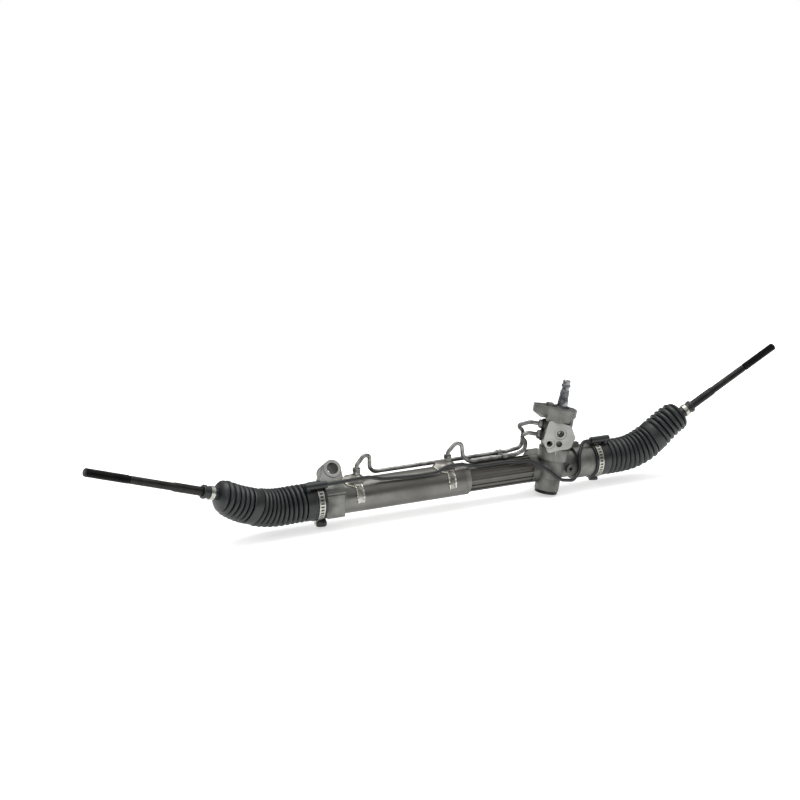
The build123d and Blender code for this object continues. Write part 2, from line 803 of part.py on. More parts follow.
ball_bearing(lower_pocket - bearing_width, bearing_inner, bearing_outer, "lower_bearing")
ball_bearing(valve_seat - 8, upper_bearing_inner, upper_bearing_outer, "upper_bearing")

groove_depth = 1.6
land_count = 4
land_pitch = (sleeve_end - sleeve_start) / land_count
sleeve_profile = [(sleeve_start, sleeve_inner / 2), (sleeve_end, sleeve_inner / 2)]
for land in range(land_count, 0, -1):
    high = sleeve_start + land * land_pitch - 3
    low = high - 2.4
    sleeve_profile += [
        (high + 3 if land == land_count else high + 0.01, sleeve_outer / 2),
        (high, sleeve_outer / 2),
        (high, sleeve_outer / 2 - groove_depth),
        (low, sleeve_outer / 2 - groove_depth),
        (low, sleeve_outer / 2),
    ]
sleeve_profile += [(sleeve_start, sleeve_outer / 2)]
valve_sleeve = turned(upright(sleeve_profile), PINION_PROFILE, PINION_LINE)
keep(valve_sleeve, "valve_sleeve")
with BuildPart() as sleeve_rings:
    for land in range(1, land_count + 1):
        high = sleeve_start + land * land_pitch - 3
        with BuildSketch(PINION.offset(high - 2.4 + seat_gap)):
            Circle(valve_bore / 2 - running_gap)
            Circle(sleeve_outer / 2 - groove_depth + seat_gap, mode=Mode.SUBTRACT)
        extrude(amount=2.4 - 2 * seat_gap)
keep(sleeve_rings, "valve_sleeve_rings")

# ---- input shaft with its torsion bar --------------------------------------------------------
spool = sleeve_inner - 2 * running_gap
spool_start = sleeve_start + 0.5
torsion_pin_size = 3.0
torsion_pin_height = shaft_top - 4
with BuildPart() as input_shaft:
    with BuildSketch(PINION_PROFILE):
        with BuildLine():
            Polyline(
                (0, spool_start), (spool / 2, spool_start), (spool / 2, valve_top),
                (shaft_foot / 2, valve_top), (shaft_foot / 2, 122),
                (spline_size / 2, 130), (spline_size / 2, 143),
                (6.4, 144), (6.4, 148.5), (spline_size / 2, 149.5), (spline_size / 2, 153),
                (6.9, 154), (6.9, shaft_top - 1.2), (5.7, shaft_top), (0, shaft_top),
                close=True,
            )
        make_face()
    revolve(axis=PINION_LINE)
    with BuildSketch(PINION.offset(spool_start)):
        Circle(torsion_bar_size / 2 + seat_gap)
    extrude(amount=shaft_top - spool_start, mode=Mode.SUBTRACT)
    with BuildSketch(TOWER_FRONT.offset(-shaft_foot)):
        with Locations((0, torsion_pin_height)):
            Circle(torsion_pin_size / 2 + seat_gap)
    extrude(amount=2 * shaft_foot, mode=Mode.SUBTRACT)
keep(input_shaft, "input_shaft")
with BuildPart() as torsion_bar:
    with BuildSketch(PINION.offset(8.5)):
        Circle(torsion_bar_size / 2)
    extrude(amount=shaft_top - 8.5 - 0.5)
    with BuildSketch(TOWER_FRONT.offset(-shaft_foot)):
        with Locations((0, torsion_pin_height)):
            Circle(torsion_pin_size / 2 + seat_gap)
    extrude(amount=2 * shaft_foot, mode=Mode.SUBTRACT)
keep(torsion_bar, "torsion_bar")
with BuildPart() as torsion_pin:
    with BuildSketch(TOWER_FRONT.offset(-6.6)):
        with Locations((0, torsion_pin_height)):
            Circle(torsion_pin_size / 2)
    extrude(amount=13.2)
keep(torsion_pin, "torsion_pin")
shaft_seal = turned(
    upright(ring(valve_top, valve_lid - 3, shaft_foot + 2 * running_gap, 30)),
    PINION_PROFILE, PINION_LINE,
)
keep(shaft_seal, "input_shaft_seal")
dust_cap = turned(
    upright([
        (valve_lid - 3 + seat_gap, shaft_foot / 2 + side_gap),
        (valve_lid + 3, shaft_foot / 2 + side_gap),
        (valve_lid + 3, 13), (valve_lid, 15), (valve_lid - 3 + seat_gap, 15),
    ]),
    PINION_PROFILE, PINION_LINE,
)
keep(dust_cap, "shaft_dust_cap")

# ---- ball joints and tie rods ------------------------------------------------------------------
ball = joint_ball / 2
seat_inner = ball + running_gap
seat_outer = seat_inner + seat_wall
cavity = seat_outer + running_gap
seat_mouth = 5.5         # the seat and the socket are cut off this far past the ball centre
socket_mouth = 6.5
socket_front = 10.0
cone_end = 16.5
socket_back = -18.0


def rod_frame(ball_x, side, tilt):
    """Frame of a tie rod: its x runs out along the rod, from the centre of its ball."""
    flat = cos(radians(tilt))
    direction = Vector(
        side * flat * cos(radians(rod_swing)),
        -flat * sin(radians(rod_swing)),
        sin(radians(tilt)),
    )
    return Plane(origin=at(ball_x, 0, 0), x_dir=direction, z_dir=direction.cross(Vector(0, 0, 1)))


def ball_joint(ball_x, side, tilt, name):
    """The socket screwed into the rack, the plastic seat in it, and the tie rod with its ball."""
    joint = Plane(origin=at(ball_x, 0, 0), x_dir=(side, 0, 0), z_dir=(0, -side, 0))
    shank_end = -rack_end_inset - socket_thread_length + 2
    with BuildPart() as socket:
        with BuildSketch(joint):
            with BuildLine():
                Polyline(
                    (-cavity, 0), (shank_end, 0), (shank_end, socket_thread / 2),
                    (-rack_end_inset, socket_thread / 2), (-rack_end_inset, rack_radius - 1),
                    (socket_back - 3, rack_radius - 1), (socket_back, socket_outer / 2),
                    (socket_front - 2, socket_outer / 2), (socket_front, cone_end),
                    (socket_mouth, sqrt(cavity**2 - socket_mouth**2)),
                )
                ThreePointArc(
                    (socket_mouth, sqrt(cavity**2 - socket_mouth**2)), (0, cavity), (-cavity, 0)
                )
            make_face()
        revolve(axis=RACK_LINE)
        # two flats for the spanner
        for offset_sign in (1, -1):
            with Locations(at(ball_x - side * 12, 0, offset_sign * (socket_outer / 2 + 6.4))):
                Box(10, socket_outer, 16, mode=Mode.SUBTRACT)
    keep(socket, f"{name}_ball_socket")

    with BuildPart() as seat:
        with BuildSketch(joint):
            with BuildLine():
                Line((-seat_outer, 0), (-seat_inner, 0))
                ThreePointArc(
                    (-seat_inner, 0), (0, seat_inner),
                    (seat_mouth, sqrt(seat_inner**2 - seat_mouth**2)),
                )
                Line(
                    (seat_mouth, sqrt(seat_inner**2 - seat_mouth**2)),
                    (seat_mouth, sqrt(seat_outer**2 - seat_mouth**2)),
                )
                ThreePointArc(
                    (seat_mouth, sqrt(seat_outer**2 - seat_mouth**2)), (0, seat_outer),
                    (-seat_outer, 0),
                )
            make_face()
        revolve(axis=RACK_LINE)
    keep(seat, f"{name}_ball_seat")

    frame = rod_frame(ball_x, side, tilt)
    neck_start = sqrt(ball**2 - (rod_neck / 2) ** 2)
    thread_start = rod_length - rod_thread_length
    with BuildPart() as rod:
        with BuildSketch(frame):
            with BuildLine():
                Line((-ball, 0), (rod_length, 0))
                Polyline(
                    (rod_length, 0), (rod_length, rod_thread / 2 - 1.5),
                    (rod_length - 1.5, rod_thread / 2), (thread_start, rod_thread / 2),
                    (thread_start - 2, rod_shank / 2), (rod_root_length + 8, rod_shank / 2),
                    (rod_root_length, rod_root / 2), (neck_start + 20, rod_root / 2),
                    (neck_start + 10, rod_neck / 2), (neck_start, rod_neck / 2),
                )
                ThreePointArc((neck_start, rod_neck / 2), (0, ball), (-ball, 0))
            make_face()
        revolve(axis=Axis(frame.origin, frame.x_dir))
    keep(rod, f"{name}_tie_rod")
    return frame


left_frame = ball_joint(ball_left_x, -1, left_rod_tilt, "left")
right_frame = ball_joint(ball_right_x, 1, right_rod_tilt, "right")

# ---- rubber boots --------------------------------------------------------------------------------
seat_outer_diameter = boot_seat_outer + 2 * seat_gap
cuff_outer = boot_seat_outer + 2 * cuff_wall
neck_bore_diameter = rod_root + 2 * side_gap
boot_sag = 30.0          # the boot runs on straight this far past the ball before it bends up
boot_rejoin = 112.0      # and meets the rod's line this far from the ball


def boot(cuff_edge, ball_x, side, frame, name):
    """A convoluted boot, from its cuff on the housing to its neck on the tie rod."""

    def along_rod(distance):
        return frame.origin + frame.x_dir * distance

    rack_line_start = at(cuff_edge, 0, 0)
    bend = at(ball_x + side * boot_sag, 0, 0)
    route = FilletPolyline(
        rack_line_start, bend, along_rod(boot_rejoin), along_rod(boot_neck_end), radius=120
    )
    length = route.length
    cap_start = length - (boot_neck_end - boot_neck_start)
    outer_end = cap_start - cap_length
    pitch = (outer_end - cuff_length - band_length) / (inner_folds + outer_folds)
    band_start = cuff_length + inner_folds * pitch
    outer_start = band_start + band_length

    def section(distance, radius):
        """A round section of the boot, square to its bend."""
        tangent = route % (distance / length)
        square = Plane(
            origin=route @ (distance / length),
            x_dir=Vector(0, 0, 1).cross(tangent),
            z_dir=tangent,
        )
        with BuildSketch(square, mode=Mode.PRIVATE) as disc:
            Circle(radius)
        return disc.sketch

    def folds(start, crests):
        """Sections of a run of convolutions, from their first root to their last crest."""
        sections = []
        for index, crest in enumerate(crests):
            root_at = start + index * pitch + (step_run if index == 0 else 0)
            sections.append(section(root_at, crest / 2 - fold_depth))
            sections.append(section(start + (index + 0.4) * pitch, crest / 2))
            sections.append(section(start + (index + 0.6) * pitch, crest / 2))
        return sections

    shrink = (band_outer - outer_crest) / (outer_folds - 1)
    outside = [section(0, cuff_outer / 2), section(cuff_length, cuff_outer / 2)]
    outside += folds(cuff_length, [boot_crest] * inner_folds)
    outside += [
        section(band_start - step_run, boot_crest / 2 - fold_depth),
        section(band_start, band_outer / 2),
        section(outer_start, band_outer / 2),
    ]
    outside += folds(outer_start, [band_outer - shrink * index for index in range(outer_folds)])
    outside += [
        section(outer_end, outer_crest / 2 - fold_depth),
        section(cap_start, boot_neck_outer / 2),
        section(length - lip_length, boot_neck_outer / 2),
        section(length - lip_length + 1, boot_lip_outer / 2),
        section(length, boot_lip_outer / 2),
    ]
    room = boot_crest / 2 - fold_depth - boot_wall
    end_room = outer_crest / 2 - fold_depth - boot_wall
    inside = [
        section(boot_seat_length + (outer_start - boot_seat_length) * index / bend_steps, room)
        for index in range(bend_steps)
    ]
    inside += [
        section(outer_start + (outer_end - outer_start) * share, room + (end_room - room) * share)
        for share in (0, 0.25, 0.5, 0.75, 1)
    ]
    with BuildPart() as piece:
        loft(sections=outside, ruled=True)
        with BuildSketch(across(cuff_edge)):
            Circle(seat_outer_diameter / 2)
        extrude(amount=side * boot_seat_length, mode=Mode.SUBTRACT)
        loft(sections=inside, ruled=True, mode=Mode.SUBTRACT)
        with BuildSketch(Plane(origin=along_rod(boot_neck_start - 2 * cap_length),
                               z_dir=frame.x_dir)):
            Circle(neck_bore_diameter / 2)
        extrude(amount=2 * cap_length + boot_neck_end, mode=Mode.SUBTRACT)
    keep(piece, f"{name}_boot")

    # clamp round the cuff, with its crimped ear below
    clamp_x = cuff_edge + side * clamp_offset
    with BuildPart() as clamp:
        with BuildSketch(across(clamp_x)):
            Circle(cuff_outer / 2 + seat_gap + clamp_thickness)
            with Locations((-7, -cuff_outer / 2 - 2.5)):
                RectangleRounded(11, 8, 1.5)
            Circle(cuff_outer / 2 + seat_gap, mode=Mode.SUBTRACT)
        extrude(amount=clamp_width / 2, both=True)
    keep(clamp, f"{name}_boot_clamp")

    # spring clamp round the neck
    with BuildPart() as neck_clamp:
        with BuildSketch(Plane(origin=along_rod(boot_neck_start + 10), z_dir=frame.x_dir)):
            Circle(boot_neck_outer / 2 + 1.6)
            Circle(boot_neck_outer / 2 + seat_gap, mode=Mode.SUBTRACT)
        extrude(amount=3.5, both=True)
    keep(neck_clamp, f"{name}_neck_clamp")
    return route


boot(cuff_edge_left, ball_left_x, -1, left_frame, "left")
boot(cuff_edge_right, ball_right_x, 1, right_frame, "right")

# ---- hydraulic pipes -----------------------------------------------------------------------------
rail_back = 18.0         # the long pipe runs this far behind the rack's centre line
rail_rise = 3.25         # and this far above the top of the tube
short_rail_rise = 1.25
rail_height = tube_top + rail_rise
short_rail_height = tube_top + short_rail_rise
upper_fitting = TOWER.from_local_coords(Vector(-pipe_boss_reach, 0, pipe_boss_heights[0]))
lower_fitting = TOWER.from_local_coords(Vector(-pipe_boss_reach, 0, pipe_boss_heights[1]))
fitting_axis = -TOWER.x_dir


def off(fitting, distance):
    """A point on the axis of a pipe fitting, this far out from its boss."""
    return fitting + fitting_axis * distance


def pipe(points, radii, size):
    """A round pipe along straight runs and arcs."""
    with BuildPart() as piece:
        with BuildLine() as route:
            FilletPolyline(*points, radius=radii)
        with BuildSketch(Plane(origin=route.line @ 0, z_dir=route.line % 0)):
            Circle(size / 2)
        sweep(path=route.line)
    return piece


long_pipe = pipe(
    [
        at(port_left_x, port_offset, port_boss_top - 6),
        at(port_left_x, port_offset, port_boss_top + 10),
        at(port_left_x + 15, port_offset + 2, port_boss_top + 25),
        at(port_left_x + 26, port_offset + 4, port_boss_top + 22),
        at(port_left_x + 27.5, port_offset + 7, port_boss_top + 1),
        at(port_left_x + 38, rail_back - 2, rail_height - 0.5),
        at(325, rail_back, rail_height),
        at(359, 18, 36),
        at(361, 17.5, 66),
        at(350, 19, 77),
        off(upper_fitting, 24),
        off(upper_fitting, -6),
    ],
    [11, 8, 7, 10, 14, 40, 12, 10, 5, 6],
    pipe_size,
)
keep(long_pipe, "long_pressure_pipe")
short_pipe = pipe(
    [
        at(port_right_x, port_offset, port_boss_top - 6),
        at(port_right_x, port_offset, port_boss_top + 10),
        at(port_right_x + 16, port_offset, port_boss_top + 24.5),
        at(port_right_x + 27.5, port_offset, port_boss_top + 21),
        at(port_right_x + 29.5, port_offset - 0.5, port_boss_top),
        at(port_right_x + 41, 0, short_rail_height),
        at(336, 0, short_rail_height + 0.2),
        at(356, 1, 36),
        at(358, 3, 50),
        at(351, 10, 59),
        off(lower_fitting, 24),
        off(lower_fitting, -6),
    ],
    [11, 8, 7, 10, 14, 40, 12, 8, 5, 6],
    pipe_size,
)
keep(short_pipe, "short_pressure_pipe")


def union_nut(plane, name):
    """A hexagon nut on a pipe, its thread end into the boss."""
    with BuildPart() as nut:
        with BuildSketch(plane):
            RegularPolygon(pipe_nut / 2, 6, major_radius=False, rotation=30)
            Circle(pipe_size / 2 + seat_gap, mode=Mode.SUBTRACT)
        extrude(amount=pipe_nut_length)
    keep(nut, name)


union_nut(Plane(origin=upper_fitting, x_dir=TOWER.y_dir, z_dir=fitting_axis), "upper_union_nut")
union_nut(Plane(origin=lower_fitting, x_dir=TOWER.y_dir, z_dir=fitting_axis), "lower_union_nut")
for port_x, name in ((port_left_x, "left_port_nut"), (port_right_x, "right_port_nut")):
    with BuildPart() as port_nut:
        with BuildSketch(Plane(origin=at(port_x, port_offset, port_boss_top), z_dir=(0, 0, 1))):
            RegularPolygon(6.5, 6, major_radius=False)
            Circle(pipe_size / 2 + seat_gap, mode=Mode.SUBTRACT)
        extrude(amount=5)
    keep(port_nut, name)

# clip that ties the two pipes together
clip_x = 312.0
clip_wall = 1.6
with BuildPart() as pipe_clip:
    with BuildSketch(across(clip_x)):
        with Locations((rail_back, rail_height), (0, short_rail_height + 0.1)):
            Circle(pipe_size / 2 + 0.4 + clip_wall)
        with Locations((rail_back / 2, (rail_height + short_rail_height) / 2)):
            Rectangle(rail_back - pipe_size, 4)
        with Locations((rail_back, rail_height), (0, short_rail_height + 0.1)):
            Circle(pipe_size / 2 + 0.4, mode=Mode.SUBTRACT)
    extrude(amount=5, both=True)
keep(pipe_clip, "pipe_clip")

# ---- breather tube between the two boots ---------------------------------------------------------
elbow_outer = 12.0
elbow_length = 38.0
elbow_depth = 14.0       # the tube stops this far short of the elbow's closed end
elbow_reach = cuff_outer / 2 + clamp_thickness + elbow_outer / 2 + 1
left_elbow_angle = 33.0  # forward of straight up
right_elbow_angle = 15.0
left_elbow_end = cuff_edge_left + 4
right_elbow_end = cuff_edge_right - 4


def elbow_centre(x, angle):
    return at(x, -elbow_reach * sin(radians(angle)), elbow_reach * cos(radians(angle)))


left_plug = elbow_centre(left_elbow_end - elbow_length + elbow_depth, left_elbow_angle)
right_plug = elbow_centre(right_elbow_end + elbow_length - elbow_depth, right_elbow_angle)
breather = pipe(
    [
        left_plug,
        elbow_centre(left_elbow_end + 16, left_elbow_angle),
        at(10, -27, tube_top + 8.75),
        at(36, -25, tube_top + 8.25),
        at(62, -20, tube_top - 0.25),
        at(128, -22, tube_top - 3.25),
        at(166, -22.5, tube_top - 2.25),
        at(188, -21, tube_top + 5.75),
        at(212, -20, tube_top + 5.25),
        at(250, -17, 24.5),
        at(310, -17, 24),
        at(352, -24, 22),
        at(374, -44, 9),
        at(398, -52, -12),
        at(426, -50, -17),
        at(446, -40, -6),
        at(452, -28, 20),
        elbow_centre(470, right_elbow_angle),
        right_plug,
    ],
    [30, 30, 25, 30, 60, 40, 25, 25, 30, 60, 30, 25, 25, 18, 22, 18, 14],
    breather_size,
)
keep(breather, "breather_tube")

for name, angle, end, side in (
    ("left", left_elbow_angle, left_elbow_end, -1),
    ("right", right_elbow_angle, right_elbow_end, 1),
):
    outward = Vector(0, -sin(radians(angle)), cos(radians(angle)))
    leg_x = end + side * (elbow_length - elbow_outer / 2)
    with BuildPart() as elbow:
        with BuildSketch(across(end)):
            with Locations((-elbow_reach * sin(radians(angle)), elbow_reach * cos(radians(angle)))):
                Circle(elbow_outer / 2)
        extrude(amount=side * elbow_length)
        with BuildSketch(Plane(origin=at(leg_x, 0, 0), x_dir=(1, 0, 0), z_dir=outward)):
            Circle(elbow_outer / 2)
        extrude(amount=elbow_reach)
        with BuildSketch(across(leg_x - elbow_outer)):
            Circle(cuff_outer / 2 + seat_gap)
        extrude(amount=2 * elbow_outer, mode=Mode.SUBTRACT)
        with BuildSketch(across(end)):
            with Locations((-elbow_reach * sin(radians(angle)), elbow_reach * cos(radians(angle)))):
                Circle(breather_size / 2 + seat_gap)
        extrude(amount=side * (elbow_length - elbow_depth), mode=Mode.SUBTRACT)
    keep(elbow, f"{name}_breather_elbow")
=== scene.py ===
# Power steering rack: the looks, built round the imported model. Units are metres; +X runs
# along the rack towards its pinion end, +Z is up, and the origin is the mounting eye.
import json
import math

import bmesh
import bpy
from mathutils import Matrix, Vector, geometry, noise


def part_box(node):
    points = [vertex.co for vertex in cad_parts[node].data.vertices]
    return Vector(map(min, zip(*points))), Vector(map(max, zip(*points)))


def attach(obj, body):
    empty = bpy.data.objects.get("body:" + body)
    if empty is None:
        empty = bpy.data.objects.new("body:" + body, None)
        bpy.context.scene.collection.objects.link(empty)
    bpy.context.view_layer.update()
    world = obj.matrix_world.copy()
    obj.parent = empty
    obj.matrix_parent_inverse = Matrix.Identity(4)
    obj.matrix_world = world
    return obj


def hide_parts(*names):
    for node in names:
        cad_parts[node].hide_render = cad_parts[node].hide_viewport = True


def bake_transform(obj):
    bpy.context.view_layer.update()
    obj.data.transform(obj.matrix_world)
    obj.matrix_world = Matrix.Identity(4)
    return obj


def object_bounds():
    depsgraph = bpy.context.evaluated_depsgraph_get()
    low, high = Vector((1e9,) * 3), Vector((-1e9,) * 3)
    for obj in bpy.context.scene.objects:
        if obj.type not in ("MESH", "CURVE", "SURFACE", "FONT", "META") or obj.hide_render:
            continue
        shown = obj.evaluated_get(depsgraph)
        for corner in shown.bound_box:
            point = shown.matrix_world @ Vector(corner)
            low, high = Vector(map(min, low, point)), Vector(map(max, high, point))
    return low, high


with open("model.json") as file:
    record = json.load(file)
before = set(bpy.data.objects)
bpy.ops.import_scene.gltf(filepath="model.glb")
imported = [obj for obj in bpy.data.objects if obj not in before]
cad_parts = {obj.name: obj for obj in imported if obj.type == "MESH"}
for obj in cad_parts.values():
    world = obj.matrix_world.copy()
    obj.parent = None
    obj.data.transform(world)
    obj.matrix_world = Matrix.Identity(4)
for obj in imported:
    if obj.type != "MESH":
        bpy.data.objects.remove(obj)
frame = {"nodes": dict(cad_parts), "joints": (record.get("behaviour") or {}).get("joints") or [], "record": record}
cad_box = [list(corner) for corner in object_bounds()]
nodes = frame["nodes"]
joints = {joint["name"]: joint for joint in frame["joints"]}
mounts = {mount["name"]: mount for mount in frame["record"]["mounts"]}
scene = bpy.context.scene
scene.view_settings.view_transform = "Standard"

# ---- studio -------------------------------------------------------------------------
# A pale floor under the rack, a plain white room round it, two large soft lamps above
# and a camera that stands in front of the left-hand end, a little above the rack.


def hex_colour(code):
    """An sRGB hex colour, such as "#8a8b88", as linear RGBA."""
    channels = [int(code[i:i + 2], 16) / 255 for i in (1, 3, 5)]
    linear = [c / 12.92 if c <= 0.04045 else ((c + 0.055) / 1.055) ** 2.4 for c in channels]
    return (*linear, 1)


def add(tree, kind, inputs=None, **settings):
    """Add a node with its settings; an input is a value, or another node's output to link.

    A Mix node of colours takes its share on input 0 and its two colours on inputs 6 and 7,
    and gives the result on output 2.
    """
    made = tree.nodes.new(kind)
    for name, value in settings.items():
        setattr(made, name, value)
    for socket, value in (inputs or {}).items():
        if isinstance(value, bpy.types.NodeSocket):
            tree.links.new(value, made.inputs[socket])
        else:
            made.inputs[socket].default_value = value
    return made


def place_camera():
    """A long lens on a low stand, turned to the right and tilted down."""
    camera = bpy.data.objects.new("camera", bpy.data.cameras.new("camera"))
    scene.collection.objects.link(camera)
    camera.data.lens = 67.5
    camera.data.sensor_width = 36
    camera.data.clip_end = 100
    camera.location = (-0.9841, -2.2097, 0.7337)
    turn, tilt = math.radians(26.8), math.radians(14.2)
    ahead = Vector((
        math.sin(turn) * math.cos(tilt), math.cos(turn) * math.cos(tilt), -math.sin(tilt)
    ))
    camera.rotation_euler = ahead.to_track_quat("-Z", "Y").to_euler()
    scene.camera = camera


def soft_lamp(name, place, target, size, watts):
    """A rectangular lamp that faces its target."""
    lamp = bpy.data.objects.new(name, bpy.data.lights.new(name, "AREA"))
    scene.collection.objects.link(lamp)
    lamp.data.shape = "RECTANGLE"
    lamp.data.size, lamp.data.size_y = size
    lamp.data.energy = watts
    lamp.location = place
    lamp.rotation_euler = (Vector(target) - Vector(place)).to_track_quat("-Z", "Y").to_euler()


place_camera()
soft_lamp("top_lamp", (0.2, 0.3, 2.6), (0.25, 0, 0), (3.2, 1.6), 44)
soft_lamp("front_lamp", (-2.2, -2.6, 2.2), (0.2, 0, 0), (1.2, 1.2), 9)

room = bpy.data.worlds.new("white_room")
scene.world = room
room.use_nodes = True
room.node_tree.nodes.clear()
path = add(room.node_tree, "ShaderNodeLightPath")
ray = add(room.node_tree, "ShaderNodeTexCoord").outputs["Generated"]
rise = add(room.node_tree, "ShaderNodeSeparateXYZ", {"Vector": ray}).outputs["Z"]
# the walls are dim and the ceiling is bright, so round metal shows a dark middle
wall_light = add(room.node_tree, "ShaderNodeMapRange", {
    "Value": rise, "From Min": 0.25, "From Max": 0.8, "To Min": 0.16, "To Max": 0.95,
})
lit = add(room.node_tree, "ShaderNodeMix", {
    "Factor": path.outputs["Is Camera Ray"], "A": wall_light.outputs["Result"], "B": 1.0,
})
backdrop = add(room.node_tree, "ShaderNodeBackground", {
    "Color": hex_colour("#ffffff"), "Strength": lit.outputs["Result"],
})
add(room.node_tree, "ShaderNodeOutputWorld", {"Surface": backdrop.outputs[0]})

floor_size = 60
floor_gap = 0.0005
floor_glow = 0.55
floor_mesh = bpy.data.meshes.new("floor")
shape = bmesh.new()
bmesh.ops.create_grid(shape, x_segments=1, y_segments=1, size=floor_size)
bmesh.ops.translate(shape, verts=shape.verts, vec=(0, 0, cad_box[0][2] - floor_gap))
shape.to_mesh(floor_mesh)
shape.free()
floor = bpy.data.objects.new("floor", floor_mesh)
scene.collection.objects.link(floor)
paper = bpy.data.materials.new("white_paper")
paper.use_nodes = True
paper.node_tree.nodes.clear()
path = add(paper.node_tree, "ShaderNodeLightPath")
seen = add(paper.node_tree, "ShaderNodeMath", {
    0: path.outputs["Is Camera Ray"], 1: path.outputs["Is Glossy Ray"],
}, operation="MAXIMUM")
matt = add(paper.node_tree, "ShaderNodeBsdfDiffuse", {"Color": hex_colour("#f4f4f4")})
glow = add(paper.node_tree, "ShaderNodeEmission", {
    "Color": hex_colour("#ffffff"), "Strength": floor_glow,
})
both = add(paper.node_tree, "ShaderNodeAddShader", {0: matt.outputs[0], 1: glow.outputs[0]})
choice = add(paper.node_tree, "ShaderNodeMixShader", {
    0: seen.outputs[0], 1: matt.outputs[0], 2: both.outputs[0],
})
add(paper.node_tree, "ShaderNodeOutputMaterial", {"Surface": choice.outputs[0]})
floor_mesh.materials.append(paper)

# ---- left end casting ---------------------------------------------------------------
# The barrel with the mounting eye, die cast in aluminium and pushed over the end of the
# cylinder tube. Its skin is dull and stained, with painted shade darkening its corners;
# faces that bolt up are milled, so they are flatter and paler.


def start_material(name):
    """An empty material, with its node tree and its object coordinates."""
    material = bpy.data.materials.new(name)
    material.use_nodes = True
    material.node_tree.nodes.clear()
    place = add(material.node_tree, "ShaderNodeTexCoord").outputs["Object"]
    return material, material.node_tree, place


def finish_nodes(material, *names):
    """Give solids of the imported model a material."""
    for name in names:
        nodes[name].data.materials.clear()
        nodes[name].data.materials.append(material)


def cast_aluminium(name, milled, dull_span=(9, 9), bore=0.0):
    """Die-cast aluminium: dull and stained, evenly grey along a span of x, pale on the flats
    that face the milled direction, and darkened with painted shade in its corners and in a
    bore through the origin."""
    material, tree, place = start_material(name)
    # patches of stain about 40 mm across
    stains = add(tree, "ShaderNodeTexNoise", {"Vector": place, "Scale": 26, "Detail": 7})
    stain_share = add(tree, "ShaderNodeMapRange", {
        "Value": stains.outputs[0], "From Min": 0.36, "From Max": 0.62,
    })
    skin = add(tree, "ShaderNodeMix", {
        0: stain_share.outputs[0], 6: hex_colour("#5d5e5a"), 7: hex_colour("#82837e"),
    }, data_type="RGBA")
    across = add(tree, "ShaderNodeSeparateXYZ", {"Vector": place}).outputs["X"]
    after = add(tree, "ShaderNodeMath", {0: across, 1: dull_span[0]}, operation="GREATER_THAN")
    before = add(tree, "ShaderNodeMath", {0: across, 1: dull_span[1]}, operation="LESS_THAN")
    within = add(tree, "ShaderNodeMath", {0: after.outputs[0], 1: before.outputs[0]},
                 operation="MULTIPLY")
    dulled = add(tree, "ShaderNodeMix", {
        0: within.outputs[0], 6: skin.outputs[2], 7: hex_colour("#676661"),
    }, data_type="RGBA")
    facing = add(tree, "ShaderNodeVectorMath", {
        0: add(tree, "ShaderNodeTexCoord").outputs["Normal"], 1: milled,
    }, operation="DOT_PRODUCT")
    flat = add(tree, "ShaderNodeMath", {0: facing.outputs["Value"], 1: 0.9997},
               operation="GREATER_THAN")
    milled_face = add(tree, "ShaderNodeMix", {
        0: stain_share.outputs[0], 6: hex_colour("#989995"), 7: hex_colour("#b2b3af"),
    }, data_type="RGBA")
    bare = add(tree, "ShaderNodeMix", {
        0: flat.outputs[0], 6: dulled.outputs[2], 7: milled_face.outputs[2],
    }, data_type="RGBA")
    # the bore's axis is the milled direction, so the cross product measures how far off it is
    sideways = add(tree, "ShaderNodeVectorMath", {0: place, 1: milled},
                   operation="CROSS_PRODUCT")
    radius = add(tree, "ShaderNodeVectorMath", {0: sideways.outputs[0]}, operation="LENGTH")
    in_bore = add(tree, "ShaderNodeMath", {0: radius.outputs["Value"], 1: bore},
                  operation="LESS_THAN")
    # painted shade: the wall inside the bore is coloured near black, as if in shadow
    bore_painted_shade = add(tree, "ShaderNodeMix", {
        0: in_bore.outputs[0], 6: bare.outputs[2], 7: hex_colour("#2c2c2a"),
    }, data_type="RGBA")
    # painted shade: ambient occlusion darkens the colour towards #33322e in corners and crevices
    corner = add(tree, "ShaderNodeAmbientOcclusion", {"Distance": 0.014}, samples=6)
    painted_corner_shade = add(tree, "ShaderNodeMix", {
        0: corner.outputs["AO"], 6: hex_colour("#33322e"), 7: bore_painted_shade.outputs[2],
    }, data_type="RGBA")
    # grain of the mould, about 1.5 mm so that it shows
    grain = add(tree, "ShaderNodeTexNoise", {"Vector": place, "Scale": 650, "Detail": 3})
    rounded = add(tree, "ShaderNodeBevel", {"Radius": 0.0011}, samples=4)
    bump = add(tree, "ShaderNodeBump", {
        "Height": grain.outputs[0], "Strength": 0.3, "Distance": 0.0004,
        "Normal": rounded.outputs[0],
    })
    rough = add(tree, "ShaderNodeMapRange", {
        "Value": stains.outputs[0], "From Min": 0.3, "From Max": 0.7, "To Min": 0.58,
        "To Max": 0.4,
    })
    surface = add(tree, "ShaderNodeBsdfPrincipled", {
        "Base Color": painted_corner_shade.outputs[2], "Metallic": 0.8, "Roughness": rough.outputs[0],
        "Normal": bump.outputs[0],
    })
    add(tree, "ShaderNodeOutputMaterial", {"Surface": surface.outputs[0]})
    return material


eye_axis = Vector(mounts["mounting_eye"]["axis"])
end_metal = cast_aluminium("cast_aluminium_end", eye_axis, bore=0.0101)
finish_nodes(end_metal, "left_end_casting")


def finish_piece(name, shape, material, body=None, crease=35):
    """Make an object of a finished shape, shaded smooth up to creases of so many degrees."""
    for edge in shape.edges:
        edge.smooth = edge.calc_face_angle(0) < math.radians(crease)
    for face in shape.faces:
        face.smooth = True
    mesh = bpy.data.meshes.new(name)
    shape.to_mesh(mesh)
    shape.free()
    mesh.materials.append(material)
    piece = bpy.data.objects.new(name, mesh)
    scene.collection.objects.link(piece)
    if body:
        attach(piece, body)
    return piece


